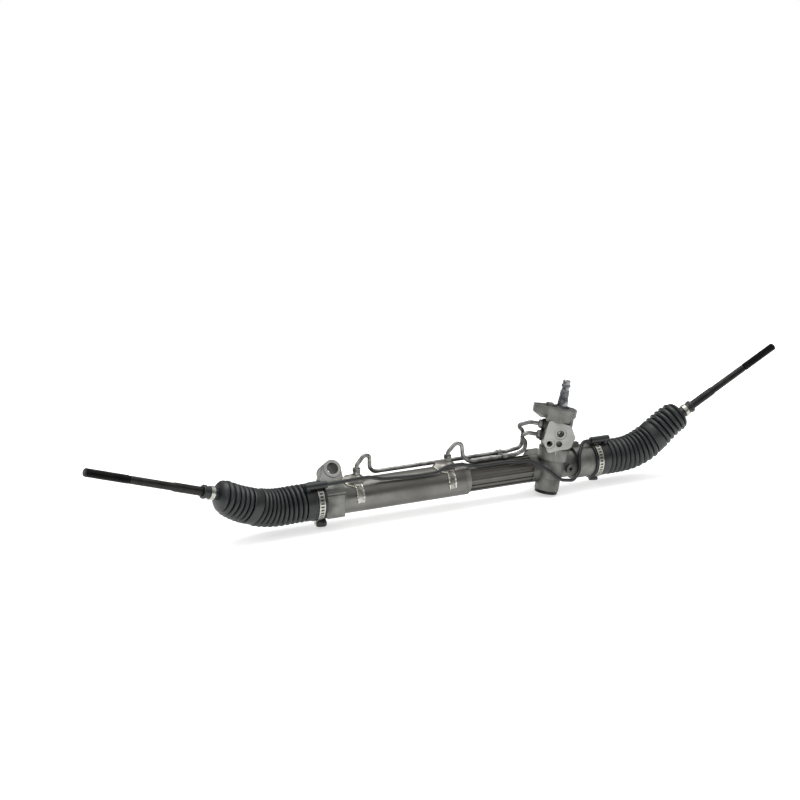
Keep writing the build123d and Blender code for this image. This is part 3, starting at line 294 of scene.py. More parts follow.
def spin_round(shape, steps, axis=(1, 0, 0)):
    """Spin all that a shape has so far, a full turn round an axis through the origin."""
    bmesh.ops.spin(shape, geom=shape.verts[:] + shape.edges[:], cent=(0, 0, 0), axis=axis,
                   angle=2 * math.pi, steps=steps, use_merge=True)


def ring(outline, segments=64):
    """A closed outline of (x, radius) points spun round the X axis."""
    shape = bmesh.new()
    loop = [shape.verts.new((x, 0, radius)) for x, radius in outline]
    for first, second in zip(loop, loop[1:] + loop[:1]):
        shape.edges.new((first, second))
    spin_round(shape, segments)
    bmesh.ops.recalc_face_normals(shape, faces=shape.faces)
    return shape


def aim(shape, place, direction):
    """Turn a shape made along X to a direction and set it at a place."""
    turn = Vector(direction).to_track_quat("X", "Z").to_matrix().to_4x4()
    bmesh.ops.transform(shape, verts=shape.verts, matrix=Matrix.Translation(place) @ turn)
    return shape


# the eye's boss runs on behind the web, with its end edges broken
eye_bore, eye_boss = 0.00975, 0.0155
web_back, boss_back = 0.0128, 0.0258
broken_edge = 0.0008
finish_piece("eye_rear_boss", aim(ring([
    (web_back, eye_bore), (boss_back - broken_edge, eye_bore),
    (boss_back, eye_bore + broken_edge), (boss_back, eye_boss - broken_edge),
    (boss_back - broken_edge, eye_boss), (web_back, eye_boss),
]), (0, 0, 0), -eye_axis), end_metal, "housing")

# ---- cylinder tube ------------------------------------------------------------------
# Cold-drawn steel tube, the wall of the power cylinder. Drawing leaves lines along it,
# drawn 5 mm apart so that they show, and a thin grey oxide has grown over them in patches
# of about 60 mm.
tube_metal, tree, place = start_material("drawn_steel")
along = add(tree, "ShaderNodeMapping", {"Vector": place, "Scale": (5, 190, 190)})
lines = add(tree, "ShaderNodeTexNoise", {"Vector": along.outputs[0], "Scale": 1, "Detail": 5})
oxide = add(tree, "ShaderNodeTexNoise", {"Vector": place, "Scale": 17, "Detail": 8})
oxide_share = add(tree, "ShaderNodeMapRange", {
    "Value": oxide.outputs[0], "From Min": 0.38, "From Max": 0.66,
})
steel = add(tree, "ShaderNodeMix", {
    0: lines.outputs[0], 6: hex_colour("#5e5d5a"), 7: hex_colour("#84847f"),
}, data_type="RGBA")
oxidised = add(tree, "ShaderNodeMix", {
    0: oxide_share.outputs[0], 6: steel.outputs[2], 7: hex_colour("#666561"),
}, data_type="RGBA")
rough = add(tree, "ShaderNodeMapRange", {
    "Value": oxide.outputs[0], "From Min": 0.3, "From Max": 0.7, "To Min": 0.3, "To Max": 0.5,
})
bump = add(tree, "ShaderNodeBump", {
    "Height": lines.outputs[0], "Strength": 0.12, "Distance": 0.0002,
})
surface = add(tree, "ShaderNodeBsdfPrincipled", {
    "Base Color": oxidised.outputs[2], "Metallic": 0.95, "Roughness": rough.outputs[0],
    "Normal": bump.outputs[0],
})
add(tree, "ShaderNodeOutputMaterial", {"Surface": surface.outputs[0]})
finish_nodes(tube_metal, "cylinder_tube")

# ---- port saddles -------------------------------------------------------------------
# Steel saddles pressed from sheet and brazed over the tube where the pipes enter it. The
# sheet is blotched every 10 mm by the flame, and the braze stands up as a bright rippled
# bead along each edge.
saddle_metal, tree, place = start_material("brazed_sheet")
heat = add(tree, "ShaderNodeTexNoise", {"Vector": place, "Scale": 95, "Detail": 5})
heat_share = add(tree, "ShaderNodeMapRange", {
    "Value": heat.outputs[0], "From Min": 0.4, "From Max": 0.6,
})
sheet = add(tree, "ShaderNodeMix", {
    0: heat_share.outputs[0], 6: hex_colour("#74726c"), 7: hex_colour("#b2b0aa"),
}, data_type="RGBA")
rounded = add(tree, "ShaderNodeBevel", {"Radius": 0.001}, samples=4)
bump = add(tree, "ShaderNodeBump", {
    "Height": heat.outputs[0], "Strength": 0.5, "Distance": 0.0008,
    "Normal": rounded.outputs[0],
})
surface = add(tree, "ShaderNodeBsdfPrincipled", {
    "Base Color": sheet.outputs[2], "Metallic": 0.9, "Roughness": 0.34,
    "Normal": bump.outputs[0],
})
add(tree, "ShaderNodeOutputMaterial", {"Surface": surface.outputs[0]})
braze, tree, _ = start_material("braze")
surface = add(tree, "ShaderNodeBsdfPrincipled", {
    "Base Color": hex_colour("#c4c0b6"), "Metallic": 0.95, "Roughness": 0.24,
})
add(tree, "ShaderNodeOutputMaterial", {"Surface": surface.outputs[0]})

tube_low, tube_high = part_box("cylinder_tube")
tube_radius = (tube_high.z - tube_low.z) / 2
rack_axis = Vector((0, (tube_low.y + tube_high.y) / 2, (tube_low.z + tube_high.z) / 2))
sheet_thickness = 0.0016
port_back = 0.0020
boss_radius = 0.0065
tent_top = 0.0360
boss_foot = 0.0240
strap_left, strap_right = -0.0118, -0.0004
strap_start, strap_end = 36, 100  # degrees forward of the tube's top
bead_radius, bead_height = 0.0019, 0.0008
ripple_length, wander_length = 0.0035, 0.0080
# foot of the tent: distance along the tube and degrees forward of the top
tent_foot = [
    (-0.0300, 4), (-0.0250, 33), (-0.0125, 44), (0.0015, 46), (0.0100, 20), (0.0105, -22),
    (-0.0080, -42), (-0.0260, -30),
]
# its shoulder: along the tube, forward and up from the rack's centre line
tent_shoulder = [
    (-0.0250, 0, 0.0350), (-0.0180, 0.0090, 0.0330), (-0.0100, 0.0145, 0.0318),
    (0.0008, 0.0140, 0.0312), (0.0084, 0.0060, 0.0335), (0.0084, -0.0080, 0.0335),
    (-0.0080, -0.0145, 0.0315), (-0.0180, -0.0110, 0.0335),
]


def on_tube(along, degrees, height=0.0):
    """A point this far above the tube's surface."""
    turn = math.radians(degrees)
    reach = tube_radius + height
    return Vector((
        along, rack_axis.y - reach * math.sin(turn), rack_axis.z + reach * math.cos(turn),
    ))


def skin_rows(shape, rows):
    """Faces from each row of points to the next, and a cap at each end."""
    for first, second in zip(rows, rows[1:]):
        for corner in range(len(first)):
            following = (corner + 1) % len(first)
            shape.faces.new((first[corner], first[following], second[following], second[corner]))
    shape.faces.new(rows[0])
    shape.faces.new(rows[-1])


def braze_bead(name, route, radius):
    """A rippled bead of braze along a route of (x, degrees) points."""
    shape = bmesh.new()
    rings = []
    steps, corners = 46, 10
    for index in range(steps + 1):
        along_route = index / steps * (len(route) - 1)
        first = min(int(along_route), len(route) - 2)
        share = along_route - first
        x, degrees = (a + (b - a) * share for a, b in zip(route[first], route[first + 1]))
        spine = on_tube(x, degrees, bead_height)
        out = (spine - Vector((x, rack_axis.y, rack_axis.z))).normalized()
        # swollen every few millimetres, and drawn in at both ends
        taper = math.sin(math.pi * (0.06 + 0.88 * index / steps)) ** 0.35
        swell = radius * (0.8 + 0.55 * noise.noise(spine / ripple_length)) * taper
        wander = 0.0009 * noise.noise(spine / wander_length)
        rings.append([
            shape.verts.new(spine + Vector((swell * math.cos(turn) + wander, 0, 0))
                            + out * swell * math.sin(turn))
            for turn in (math.pi * 2 * corner / corners for corner in range(corners))
        ])
    skin_rows(shape, rings)
    bmesh.ops.recalc_face_normals(shape, faces=shape.faces)
    finish_piece(name, shape, braze, "housing")


def port_saddle(side):
    """A saddle in one piece, with its tent, strap and boss, and the beads that hold it."""
    low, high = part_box(side + "_port_saddle")
    port_x = (low.x + high.x) / 2
    boss = Vector((port_x, rack_axis.y + port_back, rack_axis.z))
    shape = bmesh.new()
    # the tent: creased sheet from its foot on the tube up to the boss
    feet, knees, tops = [], [], []
    for index, (along, degrees) in enumerate(tent_foot):
        foot = on_tube(port_x + along, degrees, -0.0002)
        around = foot - boss
        around.z = 0
        top = boss + around.normalized() * (boss_radius + 0.0007) + Vector((0, 0, tent_top))
        along, forward, height = tent_shoulder[index]
        knee = Vector((port_x + along, rack_axis.y - forward, rack_axis.z + height))
        for row, point in ((feet, foot), (knees, knee), (tops, top)):
            row.append(shape.verts.new(point))
    for index in range(len(feet)):
        following = (index + 1) % len(feet)
        for lower, upper in ((feet, knees), (knees, tops)):
            shape.faces.new((lower[index], lower[following], upper[following], upper[index]))
    shape.faces.new(feet)
    ridges = [edge for edge in shape.edges if edge.calc_face_angle(0) > math.radians(12)]
    bmesh.ops.bevel(shape, geom=ridges, offset=0.0006, segments=2, profile=0.5, affect="EDGES",
                    material=-1)
    # the strap that runs down the front of the tube
    strap_steps = 24
    skin_rows(shape, [[
        shape.verts.new(on_tube(
            port_x + along, strap_start + (strap_end - strap_start) * step / strap_steps, height,
        ))
        for along, height in ((strap_left, 0), (strap_left, sheet_thickness),
                              (strap_right, sheet_thickness), (strap_right, 0))
    ] for step in range(strap_steps + 1)])
    # the round boss that the nut stands on
    boss_top = high.z - rack_axis.z
    bmesh.ops.create_cone(
        shape, cap_ends=True, segments=32, radius1=boss_radius, radius2=boss_radius - 0.0004,
        depth=boss_top - boss_foot,
        matrix=Matrix.Translation(boss + Vector((0, 0, (boss_top + boss_foot) / 2))),
    )
    bmesh.ops.recalc_face_normals(shape, faces=shape.faces)
    piece = finish_piece(side + "_brazed_saddle", shape, saddle_metal, "housing")
    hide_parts(side + "_port_saddle")
    braze_bead(side + "_bead_of_strap", [
        (port_x + strap_left, 40), (port_x + strap_left, 78), (port_x + strap_left + 0.0012, 103),
    ], bead_radius)
    braze_bead(side + "_bead_by_seam", [
        (port_x + strap_right, 34), (port_x + strap_right + 0.0004, 60),
        (port_x + strap_right + 0.0006, 99),
    ], bead_radius * 1.15)
    for first, second, name in ((0, 1, "_bead_low"), (1, 2, "_bead_front"), (2, 3, "_bead_mid")):
        braze_bead(side + name, [
            (port_x + tent_foot[first][0], tent_foot[first][1]),
            (port_x + tent_foot[second][0], tent_foot[second][1]),
        ], bead_radius * 0.8)


port_saddle("left")
port_saddle("right")

# ---- pinion housing -----------------------------------------------------------------
# One aluminium die casting: collar over the tube, fluted neck, barrel, pinion boss and
# the round end that carries the boot. Nothing that shows on it is milled, and its neck is
# the evenest grey.
neck_span = (0.2447, 0.3780)
unmilled = (0, 0, 0)
finish_nodes(cast_aluminium("cast_aluminium_housing", unmilled, neck_span), "pinion_housing")

# ---- bushes, rack guide and plastic rings -------------------------------------------
# Sintered bronze bushes pressed in where the bar runs through, finely pitted and warm in
# colour; the black nylon guide that a spring presses against its back; and seats and rings
# of white acetal, which is smooth and a little cloudy.
bronze, tree, place = start_material("sintered_bronze")
pores = add(tree, "ShaderNodeTexNoise", {"Vector": place, "Scale": 900, "Detail": 2})
metal = add(tree, "ShaderNodeMix", {
    0: pores.outputs[0], 6: hex_colour("#7a6236"), 7: hex_colour("#b4955a"),
}, data_type="RGBA")
surface = add(tree, "ShaderNodeBsdfPrincipled", {
    "Base Color": metal.outputs[2], "Metallic": 1, "Roughness": 0.4,
})
add(tree, "ShaderNodeOutputMaterial", {"Surface": surface.outputs[0]})
finish_nodes(bronze, "left_rack_bush", "right_rack_bush")

moulded, tree, place = start_material("moulded_nylon")
cloud = add(tree, "ShaderNodeTexNoise", {"Vector": place, "Scale": 120, "Detail": 3})
tone = add(tree, "ShaderNodeMix", {
    0: cloud.outputs[0], 6: hex_colour("#1d1d1c"), 7: hex_colour("#2e2e2c"),
}, data_type="RGBA")
surface = add(tree, "ShaderNodeBsdfPrincipled", {
    "Base Color": tone.outputs[2], "Roughness": 0.45,
})
add(tree, "ShaderNodeOutputMaterial", {"Surface": surface.outputs[0]})
finish_nodes(moulded, "rack_guide", "shaft_dust_cap")

white_plastic, tree, place = start_material("white_acetal")
cloud = add(tree, "ShaderNodeTexNoise", {"Vector": place, "Scale": 90, "Detail": 3})
tone = add(tree, "ShaderNodeMix", {
    0: cloud.outputs[0], 6: hex_colour("#cfcbbd"), 7: hex_colour("#dedacd"),
}, data_type="RGBA")
surface = add(tree, "ShaderNodeBsdfPrincipled", {
    "Base Color": tone.outputs[2], "Roughness": 0.4,
})
add(tree, "ShaderNodeOutputMaterial", {"Surface": surface.outputs[0]})
finish_nodes(
    white_plastic, "left_ball_seat", "right_ball_seat", "piston_ring", "valve_sleeve_rings",
)

# ---- rack bar, piston, bearings and valve -------------------------------------------
# Ground and turned steel, bright under a film of oil, with tool marks 4 mm long: the
# toothed bar with its piston, the pinion, its ball bearings and the rotary valve.
turned_steel, tree, place = start_material("turned_steel")
tool_marks = add(tree, "ShaderNodeTexNoise", {"Vector": place, "Scale": 240, "Detail": 4})
tint = add(tree, "ShaderNodeMix", {
    0: tool_marks.outputs[0], 6: hex_colour("#66676a"), 7: hex_colour("#a3a4a6"),
}, data_type="RGBA")
rounded = add(tree, "ShaderNodeBevel", {"Radius": 0.0005}, samples=4)
bump = add(tree, "ShaderNodeBump", {
    "Height": tool_marks.outputs[0], "Strength": 0.15, "Distance": 0.0002,
    "Normal": rounded.outputs[0],
})
surface = add(tree, "ShaderNodeBsdfPrincipled", {
    "Base Color": tint.outputs[2], "Metallic": 1, "Roughness": 0.24,
    "Normal": bump.outputs[0],
})
add(tree, "ShaderNodeOutputMaterial", {"Surface": surface.outputs[0]})
finish_nodes(
    turned_steel, "rack_bar", "piston", "left_ball_socket", "right_ball_socket", "pinion_shaft",
    "torsion_bar", "torsion_pin", "valve_sleeve", "lower_bearing_balls",
    "lower_bearing_inner_race", "lower_bearing_outer_race", "upper_bearing_balls",
    "upper_bearing_inner_race", "upper_bearing_outer_race", "guide_disc_spring",
    "guide_locknut", "guide_plug",
)

# ---- valve housing ------------------------------------------------------------------
# Aluminium casting round the rotary valve, screwed to the pinion housing. Its port face
# is milled flat, so it is the palest face on the rack.
port_axis = Vector(mounts["supply_port"]["axis"])
pinion_axis = Vector(joints["pinion_turn"]["axis"])
pinion_centre = Vector(joints["pinion_turn"]["pos_m"])
fitting_axis = port_axis.cross(pinion_axis)
valve_metal = cast_aluminium("cast_aluminium_valve", port_axis)
finish_nodes(valve_metal, "valve_housing")


def on_tower(right, front, height):
    """A point given in millimetres from the pinion's axis, as the port face looks."""
    return pinion_centre + (pinion_axis * height + port_axis * front - fitting_axis * right) / 1000


# the front of the flange, two flats that meet at an upright edge, all in millimetres
flange_left, flange_edge = -26.5, -5
flange_back, flange_front, flange_nose = 20, 25.3, 32
shape = bmesh.new()
rows = []
for height, flange_right, reach in ((111.5, 19.375, 0), (97, 15.75, 0), (87.5, 13.375, -1.5)):
    rows.append([
        shape.verts.new(on_tower(right, front + reach, height))
        for right, front in (
            (flange_left, flange_back), (flange_left, flange_front), (flange_edge, flange_nose),
            (flange_right, flange_front), (flange_right, flange_back),
        )
    ])
skin_rows(shape, rows)
bmesh.ops.recalc_face_normals(shape, faces=shape.faces)
finish_piece("flange_front", shape, valve_metal, "housing", crease=10)

# ---- input shaft --------------------------------------------------------------------
# Case-hardened steel shaft, splined at the top for the steering column's clamp, with a
# groove for the clamp bolt.
spline_teeth = 30
spline_depth = 0.0010
shaft_profile = [
    (0.0095, 0.0985), (0.0095, 0.1215), (0.0082, 0.1295), (0.0082, 0.1425), (0.0066, 0.1438),
    (0.0064, 0.1485), (0.0082, 0.1497), (0.0082, 0.1532), (0.0070, 0.1540), (0.0070, 0.1600),
    (0.0057, 0.1615),
]
splined = ((0.1240, 0.1428), (0.1494, 0.1534))
shape = bmesh.new()
chain = [shape.verts.new((radius, 0, height)) for radius, height in shaft_profile]
for first, second in zip(chain, chain[1:]):
    shape.edges.new((first, second))
bmesh.ops.subdivide_edges(shape, edges=shape.edges[:], cuts=3)
shaft_steps = 4 * spline_teeth  # two for a tooth and two for its gap
spin_round(shape, shaft_steps, (0, 0, 1))
bmesh.ops.holes_fill(shape, edges=shape.edges, sides=shaft_steps)
for vert in shape.verts:
    column = round(math.atan2(vert.co.y, vert.co.x) / (2 * math.pi) * shaft_steps) % 4
    if column < 2 and any(start < vert.co.z < end for start, end in splined):
        shrink = 1 - spline_depth / vert.co.xy.length
        vert.co.x *= shrink
        vert.co.y *= shrink
lean = pinion_axis.to_track_quat("Z", "Y").to_matrix().to_4x4()
bmesh.ops.transform(shape, verts=shape.verts, matrix=Matrix.Translation(pinion_centre) @ lean)
bmesh.ops.recalc_face_normals(shape, faces=shape.faces)
shaft = finish_piece("splined_input_shaft", shape, turned_steel, "input")
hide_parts("input_shaft")

# ---- ball joints and tie rods -------------------------------------------------------
# Forged steel rods with a phosphate coat, near black, fine grained and dull, paler in
# patches of about 15 mm. Each has a ball on its inner end and an M14 thread rolled on its
# outer end. The cap under the pinion has the same coat.
rod_coat, tree, place = start_material("phosphated_steel")
patches = add(tree, "ShaderNodeTexNoise", {"Vector": place, "Scale": 60, "Detail": 6})
patch_share = add(tree, "ShaderNodeMapRange", {
    "Value": patches.outputs[0], "From Min": 0.4, "From Max": 0.65,
})
coat = add(tree, "ShaderNodeMix", {
    0: patch_share.outputs[0], 6: hex_colour("#131313"), 7: hex_colour("#272624"),
}, data_type="RGBA")
grain = add(tree, "ShaderNodeTexNoise", {"Vector": place, "Scale": 800, "Detail": 2})
bump = add(tree, "ShaderNodeBump", {
    "Height": grain.outputs[0], "Strength": 0.25, "Distance": 0.0003,
})
surface = add(tree, "ShaderNodeBsdfPrincipled", {
    "Base Color": coat.outputs[2], "Metallic": 0.6, "Roughness": 0.42,
    "Normal": bump.outputs[0],
})
add(tree, "ShaderNodeOutputMaterial", {"Surface": surface.outputs[0]})
finish_nodes(rod_coat, "lower_pinion_cap")

rod_length = 0.360
rod_thread_length = 0.074
thread_radius = 0.0070
thread_pitch = 0.0015
thread_depth = 0.0009
thread_steps = 36
tip_length, tip_radius, tip_end_radius = 0.0020, 0.0064, 0.0052
# (distance from the ball's centre, radius): ball, neck, shank, wrench flats and undercut
rod_outline = [
    (-0.0125, 0), (-0.0120, 0.0035), (-0.0100, 0.0075), (-0.0065, 0.0107), (0, 0.0125),
    (0.0065, 0.0107), (0.0100, 0.0075), (0.0110, 0.0060), (0.0210, 0.0060), (0.0310, 0.0076),
    (0.2045, 0.0076), (0.2060, 0.0076), (0.2120, 0.0066), (0.2130, 0.0066), (0.2835, 0.0066),
    (0.2850, 0.0063),
]


def rod_place(side):
    """Where a tie rod stands: its x runs out from the ball, along the rod."""
    ball = Vector(joints[side + "_tilt"]["pos_m"])
    outward = Vector(mounts[side + "_rod_thread"]["axis"])
    level = outward.cross(Vector((0, 0, 1))).normalized()
    turn = Matrix((outward, level, outward.cross(level))).transposed()
    return ball, outward, Matrix.Translation(ball) @ turn.to_4x4()


def tie_rod(side):
    """A rod with its ball and a thread that is really wound."""
    thread_start = rod_length - rod_thread_length
    shape = bmesh.new()
    outline = [shape.verts.new((x, 0, radius)) for x, radius in rod_outline]
    for first, second in zip(outline, outline[1:]):
        shape.edges.new((first, second))
    spin_round(shape, 48)
    # the thread: one turn of its zigzag, wound with the pitch
    turns = int(rod_thread_length / thread_pitch) - 1
    zigzag = []
    for index in range(2 * turns + 1):
        radius = thread_radius - (thread_depth if index % 2 == 0 else 0)
        zigzag.append(shape.verts.new((thread_start + index * thread_pitch / 2, 0, radius)))
    strands = [shape.edges.new(pair) for pair in zip(zigzag, zigzag[1:])]
    bmesh.ops.spin(shape, geom=zigzag + strands, cent=(0, 0, 0), axis=(1, 0, 0),
                   angle=2 * math.pi, steps=thread_steps, dvec=(thread_pitch / thread_steps, 0, 0))
    # the chamfered tip
    tip_place = Matrix.Translation((rod_length - tip_length / 2, 0, 0))
    tip = bmesh.ops.create_cone(
        shape, cap_ends=True, segments=thread_steps, radius1=tip_radius,
        radius2=tip_end_radius, depth=tip_length,
        matrix=tip_place @ Matrix.Rotation(math.pi / 2, 4, "Y"),
    )["verts"]
    bmesh.ops.remove_doubles(shape, verts=[v for v in shape.verts if v not in tip], dist=2e-6)
    bmesh.ops.recalc_face_normals(shape, faces=shape.faces)
    bmesh.ops.transform(shape, verts=shape.verts, matrix=rod_place(side)[2])
    rod = finish_piece(side + "_threaded_rod", shape, rod_coat, side + "_rod")
    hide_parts(side + "_tie_rod")


tie_rod("left")
tie_rod("right")

# ---- boots --------------------------------------------------------------------------
# Black rubber bellows, blow moulded: a plain cuff clamped on the housing, ten folds, a
# plain band, five smaller folds and a domed end with a neck that grips the tie rod. Its
# crests and raised bands are painted lighter, partly for dust and partly as a painted sheen.
# Each is made in three lengths, one for each joint it crosses.
rubber, tree, place = start_material("moulded_rubber")
crest_share = add(tree, "ShaderNodeAttribute", attribute_name="crest")
dust = add(tree, "ShaderNodeTexNoise", {"Vector": place, "Scale": 40, "Detail": 7})
# dust and painted sheen: the crests are painted lighter wherever the dust noise allows
dust_and_crest_sheen = add(tree, "ShaderNodeMath", {
    0: dust.outputs[0], 1: crest_share.outputs["Fac"],
}, operation="MULTIPLY")
black = add(tree, "ShaderNodeMix", {
    0: dust_and_crest_sheen.outputs[0], 6: hex_colour("#0b0d0e"), 7: hex_colour("#2d3132"),
}, data_type="RGBA")
grain = add(tree, "ShaderNodeTexNoise", {"Vector": place, "Scale": 700, "Detail": 2})
bump = add(tree, "ShaderNodeBump", {
    "Height": grain.outputs[0], "Strength": 0.12, "Distance": 0.0003,
})
rough = add(tree, "ShaderNodeMapRange", {
    "Value": dust_and_crest_sheen.outputs[0], "To Min": 0.36, "To Max": 0.56,
})
surface = add(tree, "ShaderNodeBsdfPrincipled", {
    "Base Color": black.outputs[2], "Roughness": rough.outputs[0], "IOR": 1.52,
    "Normal": bump.outputs[0],
})
add(tree, "ShaderNodeOutputMaterial", {"Surface": surface.outputs[0]})

cuff_radius = 0.0320
cuff_length = 0.0320
seat_radius = 0.02935
seat_length = 0.0200
crest_radius = 0.0320
fold_depth = 0.0050
band_radius = 0.0305
band_length = 0.0200
last_crest = 0.0285
inner_folds, outer_folds = 10, 5
dome_length = 0.0120
neck_radius = 0.0100
neck_start, neck_end = 0.1320, 0.1580
neck_length = neck_end - neck_start
lip_radius, lip_length = 0.0115, 0.0060
grip_radius = 0.0079
wall = 0.0025
band_edge = 0.0022
boot_bend, boot_rejoin, bend_radius = 0.0300, 0.1120, 0.1200
joint_gap = 0.0030  # a distance past each joint
bend_run = 0.0280


def rounded_corner(before, corner, after):
    """Points of the arc that a bend makes at a corner of the boot's middle line."""
    inward, outward = (corner - before).normalized(), (after - corner).normalized()
    turn = inward.angle(outward)
    reach = bend_radius * math.tan(turn / 2)
    handle = bend_radius * math.tan(turn / 4) * 4 / 3
    start, end = corner - inward * reach, corner + outward * reach
    return geometry.interpolate_bezier(
        start, start + inward * handle, end - outward * handle, end, 24,
    )


def middle_line(cuff, ball, outward, side_sign):
    """The boot's middle line as a function: distance along it to a point and a direction."""
    bend = ball + Vector((side_sign * boot_bend, 0, 0))
    rejoin = ball + outward * boot_rejoin
    end = ball + outward * neck_end
    points = [cuff, *rounded_corner(cuff, bend, rejoin), *rounded_corner(bend, rejoin, end), end]
    reached = [0.0]
    for first, second in zip(points, points[1:]):
        reached.append(reached[-1] + (second - first).length)

    def point(distance):
        if distance <= 0:
            return points[0] + (points[1] - points[0]).normalized() * distance
        for index in range(1, len(points)):
            if distance <= reached[index] or index == len(points) - 1:
                share = (distance - reached[index - 1]) / (reached[index] - reached[index - 1])
                return points[index - 1].lerp(points[index], share)

    def line(distance, half_step=0.003):
        ahead = point(distance + half_step) - point(distance - half_step)
        return point(distance), ahead.normalized()

    return line, reached[-1]


def fold_run(start, pitch, crests, next_root):
    """Outline of a run of folds: round crests, narrow valleys."""
    run = []
    steps = 10
    for index, crest in enumerate(crests):
        for step in range(steps):
            rise = math.sin(math.pi * step / steps) ** 0.62
            distance = start + (index + step / steps) * pitch
            run.append((distance, crest - fold_depth * (1 - rise), rise))
    run.append((start + len(crests) * pitch, next_root, 0))
    return run


def boot_outline(length, still_folds):
    """The outside of a boot, as (distance, radius, crest share), and its two joints."""
    neck_at = length - neck_length
    dome_start = neck_at - dome_length
    pitch = (dome_start - cuff_length - band_length) / (inner_folds + outer_folds)
    band_start = cuff_length + inner_folds * pitch
    fold_start = band_start + band_length
    root = crest_radius - fold_depth
    taper = (band_radius - last_crest) / (outer_folds - 1)
    # lip, groove for the clamp, and the rib beside it
    outline = [
        (-0.0032, 0.0303, 0), (-0.0032, cuff_radius, 0.1), (-0.0026, cuff_radius + 0.0012, 0.3),
        (-0.0012, cuff_radius + 0.0016, 0.4), (0.0004, cuff_radius + 0.0010, 0.3),
        (0.0014, cuff_radius - 0.0004, 0.1), (0.0024, cuff_radius - 0.0006, 0.1),
        (0.0135, cuff_radius - 0.0006, 0.3), (0.0145, cuff_radius + 0.0006, 0.5),
        (0.0165, cuff_radius + 0.0006, 0.5), (0.0175, cuff_radius - 0.0004, 0.35),
        (cuff_length - 0.0030, cuff_radius - 0.0004, 0.35),
        (cuff_length - 0.0010, cuff_radius - 0.0015, 0.2),
    ]
    outline += fold_run(cuff_length, pitch, [crest_radius] * inner_folds, root)
    outline += [
        (band_start + 0.0010, band_radius - 0.0006, 0.5),
        (band_start + band_edge, band_radius, 0.7), (fold_start - band_edge, band_radius, 0.7),
        (fold_start - 0.0010, band_radius - 0.0008, 0.4),
    ]
    outer_crests = [band_radius - taper * index for index in range(outer_folds)]
    outline += fold_run(fold_start, pitch, outer_crests, last_crest - fold_depth)
    dome_top = last_crest - 0.0022
    dome_steps = 9
    for step in range(1, dome_steps + 1):
        turn = math.pi / 2 * step / dome_steps
        outline.append((
            dome_start + dome_length * math.sin(turn) * 0.9 + 0.0005,
            neck_radius + (dome_top - neck_radius) * math.cos(turn) ** 0.9, 0.6,
        ))
    outline += [
        (neck_at + 0.0010, neck_radius, 0.3), (length - lip_length, neck_radius, 0.3),
        (length - lip_length + 0.0010, lip_radius, 0.6), (length - 0.0010, lip_radius, 0.6),
        (length, lip_radius - 0.0008, 0.4), (length, grip_radius, 0),
    ]
    first_joint = cuff_length + still_folds * pitch
    second_joint = fold_start - band_edge
    return outline, first_joint, second_joint


def boot_length(name, outline, start, end, line, hollow, lift):
    """One length of a boot, closed by its inner wall, bent along the middle line."""
    outer = [row for row in outline if start - 1e-6 <= row[0] <= end + 1e-6]
    inner_steps = 12
    inner = [(distance, max(hollow(distance), grip_radius)) for distance in (
        end - (end - start) * step / inner_steps for step in range(inner_steps + 1)
    )]
    shape = bmesh.new()
    share = shape.verts.layers.float.new("crest")
    loop = []
    for distance, radius, crest in outer:
        loop.append(shape.verts.new((distance, 0, radius)))
        loop[-1][share] = crest
    for distance, radius in inner:
        if distance > end - 1e-6:
            radius = min(radius, outer[-1][1] - 0.0002)
        if radius < outer[0][1] - 1e-5 or distance > start + 1e-5:
            loop.append(shape.verts.new((distance, 0, radius)))
    for first, second in zip(loop, loop[1:] + loop[:1]):
        shape.edges.new((first, second))
    spin_round(shape, 80)
    for vert in shape.verts:
        centre, ahead = line(vert.co.x)
        centre.z += lift(vert.co.x)
        across = Vector((0, 0, 1)).cross(ahead).normalized()
        vert.co = centre + across * vert.co.y + ahead.cross(across) * vert.co.z
    bmesh.ops.remove_doubles(shape, verts=shape.verts, dist=1e-6)
    bmesh.ops.recalc_face_normals(shape, faces=shape.faces)
    return finish_piece(name, shape, rubber)


def boot(side, side_sign, end_lift, still_folds):
    """A whole boot; the first joint comes after `still_folds` of its folds."""
    ball, outward, _ = rod_place(side)
    low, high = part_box(side + "_boot")
    cuff_x = low.x if side_sign > 0 else high.x
    cuff = Vector((cuff_x, rack_axis.y, rack_axis.z))
    line, length = middle_line(cuff, ball, outward, side_sign)
    outline, first, second = boot_outline(length, still_folds)
    neck_at = length - neck_length

    def hollow(distance):
        """The inner radius: the housing's seat, then a plain bore, then the rod's grip."""
        if distance < seat_length:
            return seat_radius
        if distance > neck_at - dome_length:
            return grip_radius
        return last_crest - fold_depth - wall

    def lift(distance):
        """How far above its middle line the boot hangs."""
        share = min(max((distance - cuff_length) / (neck_at - cuff_length), 0), 1)
        return end_lift * math.sin(math.pi * share ** 2.2)

    folds = boot_length(side + "_boot_folds", outline, outline[0][0], first, line, hollow, lift)
    bend = boot_length(side + "_boot_bend", outline, first, second, line, hollow, lift)
    neck = boot_length(side + "_boot_neck", outline, second, length, line, hollow, lift)
    along_rack = Vector((side_sign, 0, 0))
    # the part of the cuff that the clamp grips stays still
    line(first)[0] - along_rack * 0.001
    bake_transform(folds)
    line(first + joint_gap)[0]
    line(first + joint_gap + bend_run)[0]
    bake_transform(bend)
    line(second + joint_gap)[0]
    line(second + joint_gap + bend_run)[0]
    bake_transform(neck)
    for piece in (folds, bend, neck):
        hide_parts(side + "_boot")


boot("left", -1, -0.0075, 7)
boot("right", 1, 0.0055, 8)

